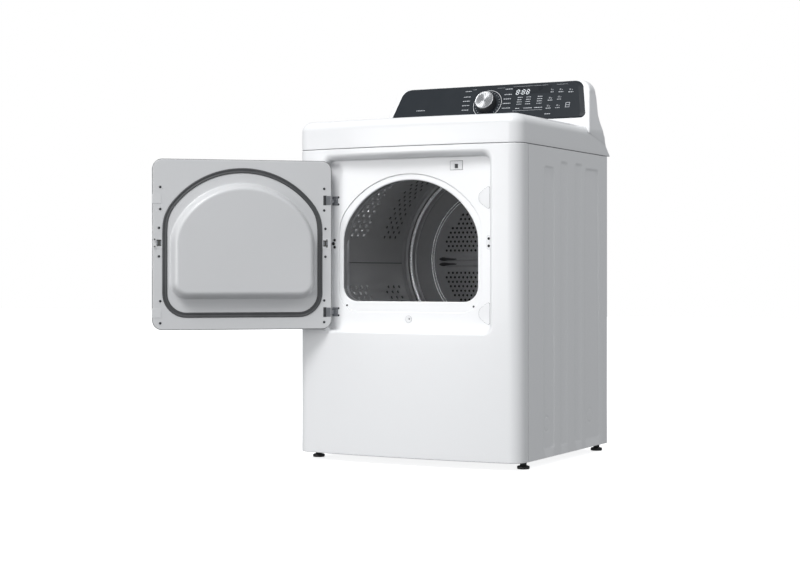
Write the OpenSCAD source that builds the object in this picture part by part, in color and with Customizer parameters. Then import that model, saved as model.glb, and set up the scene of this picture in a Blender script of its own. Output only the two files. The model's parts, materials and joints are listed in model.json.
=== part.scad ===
// Front-loading clothes dryer, 27 inch class, with its door standing open.
// Millimetres, +Z up, front towards -Y. The origin is on the floor, at the centre of the four feet.

/* [Cabinet] */
// Width of the cabinet
cabinet_w = 686; // [684:1:690]
// Depth of the cabinet, from the corner line of the front to the back
cabinet_d = 630; // [628:1:640]
// Height of the cabinet walls, from the base to the seam under the top
wall_h = 847; // [846:1:852]
// Height of the top panel
top_h = 80; // [78:1:84]
// How far the middle of the front stands forward of its corners
bow = 16; // [14:1:17]
// Radius of the upright front corners
corner_r = 38; // [36:1:40]
// Radius of the edge around the top
top_edge_r = 28; // [24:1:30]
// Thickness of the cabinet sheet
sheet = 1.2; // [1:0.1:1.4]

/* [Feet] */
// Height of the cabinet above the floor
foot_h = 21; // [20:1:24]
// Radius of a foot's pad
foot_pad_r = 17; // [15:1:18]
// Distance of the feet from the middle of the cabinet, sideways
foot_x = 318; // [310:1:320]
// Distance of the front feet behind the corner line
foot_front = 77; // [70:1:84]
// Distance of the rear feet behind the corner line
foot_rear = 607; // [600:1:607]

/* [Door and opening] */
// Width of the door
door_w = 495; // [490:1:496]
// Height of the door
door_h = 466; // [462:1:467]
// Height of the door's lower edge above the floor
door_z = 368; // [368:1:369]
// Angle at which the door stands open
door_open = 138; // [130:1:140]
// Half width of the drum opening
opening_hw = 207.5; // [206:0.5:208]
// Depth of the recess that the door closes into, behind the corner line
well_y = 22; // [22:0.5:23]

/* [Drum] */
// Inner radius of the drum
drum_r = 301; // [300:1:301]
// Height of the drum's axis above the floor
drum_z = 564; // [562:1:565]
// Angle between a baffle and the bottom of the drum
baffle_turn = 42; // [0:1:119]

/* [Console] */
// Height of the console's upper edge above the floor
console_z = 1090; // [1086:1:1094]
// Lean of the control fascia, back from upright
fascia_lean = 25; // [24:0.5:26]
// Radius of the control knob
knob_r = 29.5; // [27:0.5:31]

/* [Exhaust] */
// Outer radius of the exhaust outlet, for a 4 inch duct slipped over it
exhaust_r = 50.3; // [50:0.1:50.6]
// How far the outlet stands out behind the cabinet
exhaust_out = 38; // [30:1:45]

/* [Hidden] */
$fn = 72;

eps = 0.01;
hw = cabinet_w / 2;
front_y = -(foot_front + foot_rear) / 2;
seam_z = foot_h + wall_h;
top_z = seam_z + top_h;
bow_hw = hw - corner_r;
bow_r = (bow_hw * bow_hw + bow * bow) / (2 * bow);
wrap_y = 54;

// Recess for the door, and the opening in it
well_hw = 252.5;
well_bottom = 365;
well_top = 838;
well_flare = 15;
open_top = 778;
open_bottom = 445.5;
open_shoulder = 634;
open_corner = 42;
ring_hw = 219.5;
ring_top = 795;
ring_bottom = 416;
ring_shoulder = 664;
ring_corner = 60;
ring_sink = 2;

// Door, drawn closed and then swung open about its hinge pins
door_hw = door_w / 2;
door_back = 20;
door_face = 20 - 1.2;
hinge_x = 5.5 - door_hw;
hinge_y = 1;
hinge_zs = [415, 725];
pin_r = 2;
arm_h = 12;
leaf_h = 26;
gasket_w = 13.5;
gasket_top = 811;
gasket_bottom = 402;
gasket_shoulder = 674;
bulge_hw = 198;
bulge_top = 768;
bulge_bottom = 454;
bulge_depth = 34;
strike_x = 234;
strike_z = 605.5;
strike_pitch = 19.5;

// Air path and drive
bulkhead_y = 58;
lip_r = 296;
drum_front = 66;
drum_rear = 549;
neck_r = 289;
neck_end = 584;
rear_plate_y = 594;
ring_r = 284;
grille_r = 217;
roller_r = 38;
roller_gap = 0.3;
roller_angle = 38;
roller_y = 518;
roller_w = 22;
shaft_r = 6;
run_clear = 0.05;
motor_x = -110;
motor_z = 128;
motor_r = 62;
blower_y = 80;
blower_d = 85;
blower_r = 100;
exhaust_x = 40;
exhaust_z = 82;
belt_y = 354;
belt_w = 12;
belt_t = 2.6;
pulley_r = 9.5;
idler_r = 28;
idler_x = -199.4;
idler_z = 216.9;
idler_pivot_x = -215;
idler_pivot_z = 120;
duct_hw = 140;
filter_z = 441;
filter_bottom = 312;

// Console
fascia_top = console_z - 1.5;
fascia_bottom = fascia_top - 114;
fascia_h = (fascia_top - fascia_bottom) / cos(fascia_lean);
fascia_low_hw = 323;
fascia_high_hw = 300;
fascia_t = 3;
knob_h = 29;
side_slant = 0.186;

white = [0.95, 0.95, 0.96];
light_grey = [0.78, 0.79, 0.81];
dark_grey = [0.30, 0.31, 0.32];
steel = [0.62, 0.63, 0.65];
black = [0.09, 0.10, 0.11];

// Y of a point that lies d behind the front's corner line
function fy(d) = front_y + d;
// Y of the cabinet's front face at x, measured from the corner line
function bow_at(x) = -bow * (1 - (x / bow_hw) * (x / bow_hw));
// Y of the fascia's outer face at height z
function lean_y(z) = 488.5 + (z - 937) * tan(fascia_lean);
function unit(v) = v / norm(v);

// ---------- shared shapes ----------

// Convex outline with a true arc at each corner; points run anticlockwise
module rounded_outline(points, radii) {
    n = len(points);
    to_prev = [for (i = [0:n-1]) unit(points[(i + n - 1) % n] - points[i])];
    to_next = [for (i = [0:n-1]) unit(points[(i + 1) % n] - points[i])];
    half = [for (i = [0:n-1]) acos(to_prev[i] * to_next[i]) / 2];
    tangents = [for (i = [0:n-1], side = [0, 1])
        points[i] + (side == 0 ? to_prev[i] : to_next[i]) * radii[i] / tan(half[i])];
    polygon(tangents);
    for (i = [0:n-1])
        translate(points[i] + unit(to_prev[i] + to_next[i]) * radii[i] / sin(half[i])) circle(r = radii[i]);
}

module rounded_box_outline(x0, z0, x1, z1, r) {
    rounded_outline([[x0, z0], [x1, z0], [x1, z1], [x0, z1]], [r, r, r, r]);
}

// Outline in X and Z, as a plate from y0 to y1 behind the corner line
module plate(y0, y1) {
    translate([0, fy(y1), 0]) rotate([90, 0, 0]) linear_extrude(height = y1 - y0) children();
}

// Round bar along Y, between two distances behind the corner line
module y_bar(x, z, r, y0, y1) {
    translate([x, fy(y1), z]) rotate([90, 0, 0]) cylinder(r = r, h = y1 - y0);
}

module y_tube(x, z, r_out, r_in, y0, y1) {
    difference() {
        y_bar(x, z, r_out, y0, y1);
        y_bar(x, z, r_in, y0 - 1, y1 + 1);
    }
}

module block(x0, x1, y0, y1, z0, z1) {
    translate([x0, fy(y0), z0]) cube([x1 - x0, y1 - y0, z1 - z0]);
}

// Opening outline: an arch on upright sides, with rounded lower corners
module arch_outline(half_w, top, shoulder, bottom, corner) {
    rise = top - shoulder;
    r = (half_w * half_w + rise * rise) / (2 * rise);
    intersection() {
        translate([0, top - r]) circle(r = r, $fn = 120);
        translate([-half_w, shoulder]) square([2 * half_w, rise + 1]);
    }
    translate([-half_w, bottom + corner]) square([2 * half_w, shoulder - bottom - corner + eps]);
    translate([corner - half_w, bottom]) square([2 * (half_w - corner), corner + eps]);
    for (side = [-1, 1]) translate([side * (half_w - corner), bottom + corner]) circle(r = corner);
}

module opening_outline(grow = 0) {
    arch_outline(opening_hw + grow, open_top + grow, open_shoulder, open_bottom - grow, open_corner + grow);
}

module ring_outline(grow = 0) {
    arch_outline(ring_hw + grow, ring_top + grow, ring_shoulder, ring_bottom - grow, ring_corner + grow);
}

// Plan of the cabinet's front, with its bowed face and round corners, back to the line at depth
module front_plan(inset = 0, depth = wrap_y) {
    intersection() {
        union() {
            translate([-bow_hw, inset]) square([2 * bow_hw, depth]);
            for (side = [-1, 1]) translate([side * bow_hw, corner_r]) circle(r = corner_r - inset);
            translate([inset - hw, corner_r]) square([2 * (hw - inset), depth]);
            intersection() {
                translate([0, bow_r - bow]) circle(r = bow_r - inset, $fn = 400);
                translate([-bow_hw, -bow]) square([2 * bow_hw, bow + corner_r]);
            }
        }
        translate([-hw, -bow]) square([2 * hw, depth + bow]);
    }
}

// The same plan as points, for the blended top, at a given inset and back line
function top_points(inset, back) = concat(
    [for (i = [0:12]) let (x = bow_hw * (i / 6 - 1)) [x, bow_at(x) + inset]],
    [for (a = [285:15:360]) [bow_hw, corner_r] + (corner_r - min(inset, corner_r - 1)) * [cos(a), sin(a)]
        - [max(0, inset - corner_r + 1), 0]],
    [[hw - inset, back], [inset - hw, back]],
    [for (a = [180:15:255]) [-bow_hw, corner_r] + (corner_r - min(inset, corner_r - 1)) * [cos(a), sin(a)]
        + [max(0, inset - corner_r + 1), 0]]);

// Solid of the top, its upper edge blended all round the front and sides
module top_solid(inset = 0) {
    z_low = seam_z - (inset > 0 ? 1 : 0);
    intersection() {
        hull() {
            translate([0, front_y, z_low]) linear_extrude(height = 1) polygon(top_points(inset, 660));
            for (a = [0:(inset > 0 ? 18 : 15):90])
                translate([0, front_y, top_z - top_edge_r + (top_edge_r - inset) * sin(a) - eps])
                    linear_extrude(height = eps)
                        polygon(top_points(inset + (top_edge_r - inset) * (1 - cos(a)), 660));
        }
        rotate([90, 0, 90]) translate([0, 0, -hw]) linear_extrude(height = 2 * hw)
            polygon([for (p = [[-60, 860], [652 - inset, 860], [652 - inset, 869], [620 - inset, 896],
                [612 - inset, 911], [600 - inset, 960], [-60, 960]]) [fy(p[0]), p[1]]]);
    }
}

// ---------- cabinet ----------

pan_rim = 17;

module base_pan() {
    color(steel) difference() {
        translate([0, front_y, foot_h]) linear_extrude(height = pan_rim)
            front_plan(sheet + 0.2, cabinet_d - sheet - 0.2);
        translate([0, front_y, foot_h + 1.5]) linear_extrude(height = pan_rim)
            front_plan(sheet + 1.7, cabinet_d - sheet - 1.7);
        for (x = [-foot_x, foot_x], y = [foot_front, foot_rear])
            translate([x, fy(y), foot_h - 1]) cylinder(r = 5 + run_clear, h = 4);
        y_bar(exhaust_x, exhaust_z, exhaust_r + 1.2, cabinet_d - 10, cabinet_d + 5);
    }
}

// Ribs pressed into a side panel: [front edge, back edge, top] behind the corner line
side_ribs = [[156, 233, 814], [273, 321, 834], [378, 429, 834], [454, 559, 824]];
rib_bottom = foot_h + pan_rim + 2;
rib_sink = 2;

// Round pipe knock-outs that stand up from the floors of two ribs
knock_ys = [182.5, 497.6];
knock_z = 113;
knock_r = 22;

// Right-hand side panel
module side_panel() {
    color(white) {
        difference() {
            union() {
                block(hw - sheet, hw, wrap_y + 0.3, cabinet_d, foot_h, seam_z);
                for (rib = side_ribs) block(hw - sheet - rib_sink, hw, rib[0], rib[1], rib_bottom, rib[2]);
            }
            for (rib = side_ribs)
                block(hw - rib_sink, hw + 1, rib[0] + 2, rib[1] - 2, rib_bottom + 2, rib[2] - 2);
        }
        for (y = knock_ys) translate([hw - rib_sink - 0.5, fy(y), knock_z]) rotate([0, 90, 0])
            cylinder(r = knock_r, h = 1.3);
    }
}

module left_side_panel() { mirror([1, 0, 0]) side_panel(); }
module right_side_panel() { side_panel(); }

module rear_panel() {
    color(steel) difference() {
        block(sheet - hw, hw - sheet, cabinet_d - sheet, cabinet_d, foot_h, seam_z - 0.2);
        y_bar(exhaust_x, exhaust_z, exhaust_r + 1.2, cabinet_d - 5, cabinet_d + 5);
        y_bar(-250, 760, 14, cabinet_d - 5, cabinet_d + 5);
        for (i = [0:5]) block(190, 300, cabinet_d - 5, cabinet_d + 5, 300 + 14 * i, 306 + 14 * i);
    }
}

// Flared side of the door recess, as a solid that grows by t
module well_solid(t) {
    hull() {
        plate(well_y + t - 0.1, well_y + t)
            rounded_box_outline(-well_hw - t, well_bottom - t, well_hw + t, well_top + t, 22 + t, $fn = 32);
        plate(-bow - 2, -bow - 1.9)
            rounded_box_outline(-well_hw - well_flare - t, well_bottom - well_flare * 0.6 - t,
                well_hw + well_flare + t, well_top + well_flare + t, 22 + t, $fn = 32);
    }
}

module front_panel() {
    color(white) {
        difference() {
            union() {
                translate([0, front_y, foot_h]) linear_extrude(height = wall_h) difference() {
                    front_plan();
                    front_plan(sheet, wrap_y + 1);
                }
                intersection() {
                    well_solid(sheet);
                    translate([0, front_y, foot_h]) linear_extrude(height = wall_h) front_plan();
                }
                plate(well_y, well_y + sheet + ring_sink) ring_outline(sheet);
            }
            well_solid(0);
            plate(well_y - 1, well_y + ring_sink) ring_outline();
            plate(well_y - 1, 60) opening_outline();
            // Windows for the door switch and for the sockets of the catches
            block(128, 164, well_y - 2, well_y + 6, 802, 825);
            for (side = [-1, 1], k = [-1, 1])
                y_bar(side * strike_x, strike_z + k * strike_pitch / 2, 4, well_y - 2, well_y + 6);
        }
        difference() {
            plate(well_y + ring_sink, 40) opening_outline(sheet);
            plate(well_y - 1, 41) opening_outline();
        }
    }
}

module front_bulkhead() {
    color(steel) {
        difference() {
            block(-336, 336, bulkhead_y, bulkhead_y + sheet, 225, seam_z - 6);
            plate(bulkhead_y - 1, bulkhead_y + 3) opening_outline(0.5);
            block(-128, 128, bulkhead_y - 1, bulkhead_y + 3, 324, 430);
        }
        difference() {
            plate(41, bulkhead_y + eps) opening_outline(sheet + 0.5);
            plate(40, bulkhead_y + 1) opening_outline(0.5);
        }
        y_tube(0, drum_z, lip_r, lip_r - sheet, bulkhead_y + sheet - eps, 84);
    }
}

module top_panel() {
    color(white) difference() {
        top_solid();
        top_solid(2.5);
        block(-60, 60, 520, 560, 900, top_z + 5);
    }
}

// ---------- console ----------

// Side view of the console, drawn in from its outer skin by t
module console_side(t) {
    back = lean_y(console_z) + 30;
    polygon([for (p = [[lean_y(900) + t * 1.1, 900], [613 - t, 900], [611.5 - t, 911], [600 - t, 943],
        [588 - t, 966], [583 - t, 986], [594 - t, 1040], [back - t, console_z - 14],
        [back - 4 - t, console_z - 6],
        [back - 12, console_z - t], [lean_y(console_z - t) + t * 1.1, console_z - t]])
        [fy(p[0]), p[1]]]);
}

// Front view of the console, drawn in by t: sides that slant inward to round upper corners
module console_front(t) {
    low = hw - t + side_slant * 37;
    high = hw - t - side_slant * (console_z - 937);
    rounded_outline([[-low, 900], [low, 900], [high, console_z - t], [-high, console_z - t]],
        [1, 1, 40 - t, 40 - t]);
}

module console_solid(t) {
    intersection() {
        rotate([90, 0, 90]) translate([0, 0, -hw]) linear_extrude(height = 2 * hw) console_side(t);
        plate(440, 640) intersection() {
            console_front(t);
            translate([t - hw, 890]) square([2 * (hw - t), 300]);
        }
    }
}

// Frame whose Z runs out of the fascia's face, and whose Y runs up it
module on_fascia() {
    translate([0, fy(lean_y(fascia_bottom)), fascia_bottom]) rotate([90 - fascia_lean, 0, 0]) children();
}

module fascia_outline(inset = 0) {
    low = fascia_low_hw - inset;
    high = fascia_high_hw - inset;
    rounded_outline([[-low, inset], [low, inset], [high, fascia_h - inset], [-high, fascia_h - inset]],
        [14 - inset, 14 - inset, 32 - inset, 32 - inset]);
}

knob_s = 60;

module console_housing() {
    color(white) difference() {
        console_solid(0);
        difference() {
            console_solid(3);
            on_fascia() translate([0, 0, -6]) linear_extrude(height = 10) fascia_outline(-3);
        }
        translate([0, 0, -eps]) block(3 - hw, hw - 3, 480, 608, 890, top_z + 2);
        on_fascia() translate([0, 0, -fascia_t]) linear_extrude(height = 10) fascia_outline(-0.3);
        on_fascia() translate([0, 0, -20]) linear_extrude(height = 30) fascia_outline(6);
        top_solid();
    }
}

module control_fascia() {
    color(black) on_fascia() difference() {
        translate([0, 0, -fascia_t]) linear_extrude(height = fascia_t + 0.6) fascia_outline();
        translate([0, knob_s, -10]) cylinder(r = 8, h = 20);
        translate([78, 88, -10]) cube([122, 26, 20]);
    }
}

module display_window() {
    color([0.05, 0.06, 0.07]) on_fascia() translate([78.2, 88.2, -fascia_t])
        cube([121.6, 25.6, fascia_t + 0.5]);
}

module knob_ring() {
    color([0.85, 0.86, 0.87]) on_fascia() translate([0, knob_s, 0.6]) difference() {
        cylinder(r = 46.5, h = 1.2);
        translate([0, 0, -1]) cylinder(r = 44.9, h = 4);
    }
}

module control_board() {
    color([0.12, 0.35, 0.20]) on_fascia() difference() {
        union() {
            translate([-110, 20, -18]) cube([330, 84, 1.6]);
            translate([-16, knob_s - 16, -16.4]) cube([32, 32, 10]);
        }
        translate([0, knob_s, -30]) cylinder(r = 3 + run_clear, h = 40);
    }
}

// ---------- drum ends ----------

// Ring of revolution about the drum's axis, from points [radius, distance behind the corner line]
module about_drum(points) {
    translate([0, fy(0), drum_z]) rotate([-90, 0, 0]) rotate_extrude($fn = 180) polygon(points);
}

module rear_bulkhead() {
    color(steel) difference() {
        union() {
            block(-338, 338, rear_plate_y, rear_plate_y + sheet, 225, seam_z - 6);
            y_tube(0, drum_z, ring_r, ring_r - 1.5, 574, rear_plate_y + eps);
        }
        y_bar(0, drum_z, 200, rear_plate_y - 5, rear_plate_y + 5);
        for (side = [-1, 1])
            y_bar(side * roller_x(), roller_z(), shaft_r - 2, rear_plate_y - 5, rear_plate_y + 5);
    }
}

grille_pitch = 14;
grille_hole_r = 3.2;
grille_rim = 178;

module rear_grille() {
    color(steel) difference() {
        union() {
            y_bar(0, drum_z, grille_r, 591.6, 593.8);
            y_tube(0, drum_z, grille_r, grille_r - 4, 588.6, 592);
            block(-170, 170, 587, 592, drum_z - 14, drum_z + 6);
        }
        for (ring = [1:2:11]) let (r = grille_rim - 4 - ring * grille_pitch, n = floor(2 * PI * r / 30))
            for (i = [0:n-1]) let (a = 360 * (i + 0.5) / n)
                if (abs(r * sin(a) + 4) > 34)
                    y_bar(r * cos(a), drum_z + r * sin(a), grille_hole_r, 580, 600);
    }
}

module drum_seals() {
    color([0.55, 0.53, 0.50]) {
        y_tube(0, drum_z, drum_r - 0.4, lip_r + 0.1, 74, 82);
        y_tube(0, drum_z, neck_r - 1.4, ring_r + 0.1, 576, 582);
    }
}

module drum_glides() {
    color([0.85, 0.84, 0.80]) for (a = [-32, 32]) intersection() {
        y_tube(0, drum_z, drum_r - 0.4, lip_r + 0.1, 66.5, 73.5);
        translate([0, fy(0), drum_z]) rotate([0, a, 0]) translate([-30, 0, 0]) cube([60, 100, 400]);
    }
}

function roller_x() = (drum_r + 1 + roller_gap + roller_r) * sin(roller_angle);
function roller_z() = drum_z - (drum_r + 1 + roller_gap + roller_r) * cos(roller_angle);

module roller_shafts() {
    color(steel) for (side = [-1, 1]) {
        y_bar(side * roller_x(), roller_z(), shaft_r, roller_y - 4, rear_plate_y - 0.05);
        y_bar(side * roller_x(), roller_z(), shaft_r - 2.1, rear_plate_y - 1, rear_plate_y + 8);
        y_bar(side * roller_x(), roller_z(), shaft_r + 4, roller_y + roller_w + 1, roller_y + roller_w + 3);
    }
}

module moisture_sensor_bars() {
    color([0.8, 0.8, 0.82]) for (z = [424, 434]) block(-60, 60, 88.1, 89.6, z - 2.5, z + 2.5);
}

// ---------- drive and air ----------

module motor_body() {
    color([0.28, 0.30, 0.33]) difference() {
        union() {
            y_bar(motor_x, motor_z, motor_r, 195, 320);
            y_bar(motor_x, motor_z, motor_r - 14, 186, 329);
            y_bar(motor_x, motor_z, 14, 180, 335);
        }
        y_bar(motor_x, motor_z, shaft_r + run_clear, 170, 345);
    }
}

module motor_bracket() {
    color(steel) difference() {
        union() {
            for (y = [205, 305]) block(motor_x - 60, motor_x + 60, y, y + 6, foot_h + 1.6, motor_z - 10);
            block(motor_x - 130, motor_x + 60, 205, 372, foot_h + 1.6, foot_h + 4.5);
            block(idler_pivot_x - 16, idler_pivot_x + 16, 336, 340, foot_h + 1.6, idler_pivot_z + 14);
            y_bar(idler_pivot_x, idler_pivot_z, 5, 339, 366);
        }
        y_bar(motor_x, motor_z, motor_r + 0.2, 200, 330);
    }
}

module motor_shaft() {
    color(steel) {
        y_bar(motor_x, motor_z, shaft_r, blower_y + 12, belt_y + belt_w + 6);
        y_bar(motor_x, motor_z, pulley_r, belt_y - 3, belt_y + belt_w + 3);
    }
}

module blower_wheel() {
    color([0.75, 0.76, 0.78]) difference() {
        union() {
            y_bar(motor_x, motor_z, 82, 146, 149);
            y_tube(motor_x, motor_z, 82, 58, 94, 97);
            y_bar(motor_x, motor_z, 16, 120, 147);
            for (i = [0:17]) translate([motor_x, 0, motor_z]) rotate([0, 20 * i, 0])
                translate([-1.2, fy(96), 60]) cube([2.4, 51, 21]);
        }
        y_bar(motor_x, motor_z, shaft_r + 0.02, 90, 160);
    }
}

// Belt loop around the drum and the motor pulley, its outline grown by g
module belt_outline(g) {
    big = drum_r + 1.3 + g;
    small = pulley_r + 0.3 + g;
    reach = [motor_x, motor_z - drum_z];
    along = unit(reach);
    across = [-along[1], along[0]];
    lean = acos((big - small) / norm(reach));
    left = along * cos(lean) + across * sin(lean);
    right = along * cos(lean) - across * sin(lean);
    merge = 0.02;
    translate([0, drum_z]) {
        circle(r = big, $fn = 180);
        translate(reach) circle(r = small);
        polygon([(big - merge) * left, reach + (small - merge) * left, reach + (small - merge) * right,
            (big - merge) * right, [0, 0]]);
    }
}

module drum_belt() {
    color([0.12, 0.12, 0.12]) difference() {
        plate(belt_y, belt_y + belt_w) belt_outline(belt_t);
        plate(belt_y - 1, belt_y + belt_w + 1) belt_outline(0);
    }
}

module idler_arm() {
    reach = [idler_x - idler_pivot_x, idler_z - idler_pivot_z];
    color(steel) difference() {
        union() {
            y_bar(idler_pivot_x, idler_pivot_z, 11, 341, 346);
            translate([idler_pivot_x, fy(341), idler_pivot_z]) rotate([0, atan2(reach[0], reach[1]), 0])
                translate([-7, 0.4, 2]) cube([14, 4.2, norm(reach) - 1]);
            y_bar(idler_x, idler_z, 8, 341, 346);
            y_bar(idler_x, idler_z, 4, 345, 370);
        }
        y_bar(idler_pivot_x, idler_pivot_z, 5 + run_clear, 330, 380);
    }
}

module idler_pulley() {
    color(dark_grey) y_tube(idler_x, idler_z, idler_r, 4 + run_clear, 348, 368);
}

module blower_housing() {
    color([0.80, 0.81, 0.82]) difference() {
        union() {
            y_bar(motor_x, motor_z, blower_r, blower_y, blower_y + blower_d);
            block(motor_x, exhaust_x + 56, blower_y, blower_y + blower_d, motor_z - blower_r, 137);
        }
        y_bar(motor_x, motor_z, blower_r - 2, blower_y + 2, blower_y + blower_d - 2);
        block(motor_x, exhaust_x + 54, blower_y + 2, blower_y + blower_d - 2, motor_z - blower_r + 2, 135);
        y_bar(motor_x, motor_z, 56, blower_y - 5, blower_y + 5);
        y_bar(motor_x, motor_z, 9, blower_y + 50, blower_y + blower_d + 5);
        y_bar(exhaust_x, exhaust_z, exhaust_r - 1, blower_y + 50, blower_y + blower_d + 5);
    }
}

module exhaust_duct() {
    color([0.72, 0.73, 0.75]) {
        y_tube(exhaust_x, exhaust_z, exhaust_r, exhaust_r - 1, blower_y + blower_d + 0.05,
            cabinet_d + exhaust_out);
        y_tube(exhaust_x, exhaust_z, exhaust_r + 1, exhaust_r - 0.5, cabinet_d + 8, cabinet_d + 10);
    }
}

// Flat duct behind the front, from the lint filter down to the blower, drawn in by t
module lint_duct_solid(t) {
    plate(27 + t, bulkhead_y - 0.1 - t) {
        translate([t - duct_hw, 300]) square([2 * (duct_hw - t), filter_z - 301 - t]);
        polygon([[t - duct_hw, 301], [duct_hw - t, 301], [-40 - t, 190], [-180 + t, 190]]);
    }
    block(-180 + t, -40 - t, 27 + t, blower_y - 0.1 - t, 58 + t, 191);
}

module lint_duct() {
    color(light_grey) difference() {
        lint_duct_solid(0);
        lint_duct_solid(2);
        block(-128, 128, 50, bulkhead_y + 3, 324, 430);
        y_bar(motor_x, motor_z, 56, 60, blower_y + 5);
    }
}

filter_y = 66;
filter_t = 10;

module lint_filter_housing() {
    y0 = bulkhead_y + sheet + 0.1;
    color(light_grey) difference() {
        block(-duct_hw, duct_hw, y0, 88, filter_bottom, filter_z);
        block(2 - duct_hw, duct_hw - 2, y0 - 1, 86, filter_bottom + 2, filter_z - 2);
        block(-duct_hw + 5, duct_hw - 5, filter_y - 0.6, filter_y + filter_t + 0.6,
            filter_z - 10, filter_z + 5);
        for (i = [-8:8]) block(15 * i - 4, 15 * i + 4, 80, 92, filter_bottom + 14, 412);
    }
}

module lint_filter_frame() {
    color([0.35, 0.55, 0.75]) difference() {
        block(-134, 134, filter_y, filter_y + filter_t, filter_bottom + 6, filter_z - 0.5);
        block(-126, 126, filter_y - 1, filter_y + filter_t + 1, filter_bottom + 14, filter_z - 22);
        block(-40, 40, filter_y + 3, filter_y + filter_t + 1, filter_z - 16, filter_z - 4);
    }
}

module lint_filter_screen() {
    color([0.85, 0.86, 0.88])
        block(-125.9, 125.9, filter_y + 4, filter_y + 4.6, filter_bottom + 14.1, filter_z - 22.1);
}

module heater_outline(t) {
    translate([0, drum_z]) circle(r = 206 - t);
    translate([t - 60, 260]) square([120 - 2 * t, drum_z - 260]);
}

module heater_box() {
    y0 = rear_plate_y + sheet + 0.1;
    color([0.68, 0.69, 0.70]) difference() {
        plate(y0, 625) heater_outline(0);
        plate(y0 - 1, 624) heater_outline(1);
        block(-50, 50, 600, 620, 250, 265);
    }
}

module heating_coils() {
    color([0.55, 0.45, 0.35]) {
        for (r = [70, 110, 150]) translate([0, fy(612), drum_z]) rotate([90, 0, 0])
            rotate_extrude($fn = 96) translate([r, 0]) circle(r = 3, $fn = 24);
        difference() {
            for (a = [0, 90]) translate([0, fy(610.5), drum_z]) rotate([0, a, 0])
                translate([-204, 0, -5]) cube([408, 3, 10]);
            y_bar(0, drum_z, 40, 600, 620);
        }
    }
}

// ---------- small fixed pieces ----------

module door_switch_housing() {
    color(white) difference() {
        union() {
            block(128.3, 163.7, well_y + 0.2, well_y + 1.4, 802.3, 824.7);
            block(132, 160, well_y + 1.3, 40, 805, 822);
        }
        block(141, 151, well_y - 2, 38, 806.5, 817);
        lever_pin(lever_pin_r + run_clear, 6.7);
    }
}

lever_pin_r = 1.2;

// Pin across the switch's window, that its lever turns about
module lever_pin(r, half_length) {
    translate([146 - half_length, fy(26), 815]) rotate([0, 90, 0]) cylinder(r = r, h = 2 * half_length);
}

// Lever that leans out of the switch and turns about the pin at its top
lever_tilt = 8;

module door_switch_lever() {
    color(dark_grey) {
        translate([146, fy(26), 815]) rotate([-lever_tilt, 0, 0])
            translate([-4.6, -4.2, -8]) cube([9.2, 5.2, 8.5]);
        lever_pin(lever_pin_r, 6.4);
    }
}

// Plate with two sockets, which the door's strike snaps into
module socket_plate(side, y0, y1) {
    difference() {
        plate(y0, y1) rounded_box_outline(side * 238 - 8, strike_z - 18, side * 238 + 8, strike_z + 18, 4);
        for (k = [-1, 1]) y_bar(side * strike_x, strike_z + k * strike_pitch / 2, 3.5, y0 - 1, y1 + 1);
    }
}

module catch_plate() {
    color(white) socket_plate(1, well_y - 0.9, well_y - 0.05);
    color(dark_grey) for (k = [-1, 1])
        y_tube(strike_x, strike_z + k * strike_pitch / 2, 3.9, 3.4, well_y - 0.05, well_y + 8);
}

module spare_catch() {
    color(dark_grey) {
        socket_plate(-1, well_y - 0.9, well_y - 0.05);
        for (k = [-1, 1])
            y_tube(-strike_x, strike_z + k * strike_pitch / 2, 3.9, 3.4, well_y - 0.05, well_y + 8);
    }
}

// Cover with a long outer side, a short inner side and slanted edges between them
module cover_outline() {
    rounded_outline([[213, -8], [244.6, -29.5], [244.6, 29.5], [213, 8]], [6, 6, 6, 6]);
}

module hinge_hole_covers() {
    color(white) for (z = hinge_zs) translate([0, 0, z]) plate(well_y - 0.9, well_y - 0.05) cover_outline();
}

module hinge_frame_leaves() {
    color([0.66, 0.68, 0.71]) for (z = hinge_zs) difference() {
        union() {
            translate([0, 0, z]) plate(well_y - 1.6, well_y - 0.05)
                rounded_box_outline(-238, -leaf_h / 2, -212, leaf_h / 2, 5);
            translate([hinge_x, fy(hinge_y), z - arm_h / 2]) {
                cylinder(r = pin_r + 1.6, h = arm_h);
                rotate([0, 0, -22]) translate([-1.2, 0.4, 0.3]) cube([2.4, 21.5, arm_h - 0.6]);
            }
        }
        for (k = [-1, 1]) y_bar(-221, z + 9.8 * k, 2.2, well_y - 3, well_y + 1);
        translate([hinge_x, fy(hinge_y), z - 20]) cylinder(r = pin_r + run_clear, h = 40);
    }
}

module panel_screws() {
    color([0.25, 0.26, 0.28]) {
        for (z = hinge_zs, k = [-1, 1]) y_bar(-221, z + 9.8 * k, 2.1, well_y - 1.5, well_y - 0.1);
        for (side = [-1, 1]) y_bar(side * 195.5, 433.5, 2.4, well_y + 1, well_y + ring_sink - 0.05);
        for (x = [-320, -160, 160, 320], z = [60, 440, 840])
            y_bar(x, z, 4, cabinet_d + 0.05, cabinet_d + 2.2);
    }
}

module sill_plug() {
    color(white) difference() {
        y_bar(0, 397, 9, well_y - 0.4, well_y - 0.05);
        y_bar(2, 398, 2, well_y - 2, well_y + 1);
    }
}

// Box over the mains terminals, with the cord's hole in its underside
cover_out = 34;
cord_r = 11;

module terminal_cover() {
    color(steel) difference() {
        block(-290, -210, cabinet_d + 0.05, cabinet_d + cover_out, 700, 800);
        block(-288.5, -211.5, cabinet_d - 1, cabinet_d + cover_out - 1.5, 701.5, 798.5);
        translate([-250, fy(cabinet_d + cover_out / 2), 690]) cylinder(r = cord_r, h = 20);
    }
}

// ---------- door ----------

// Swings what is drawn closed to where the door stands
module door_swing() {
    translate([hinge_x, fy(hinge_y), 0]) rotate([0, 0, -door_open])
        translate([-hinge_x, -fy(hinge_y), 0]) children();
}

module door_outline(inset = 0) {
    rounded_box_outline(inset - door_hw, door_z + inset, door_hw - inset, door_z + door_h - inset,
        27 - inset);
}

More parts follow.
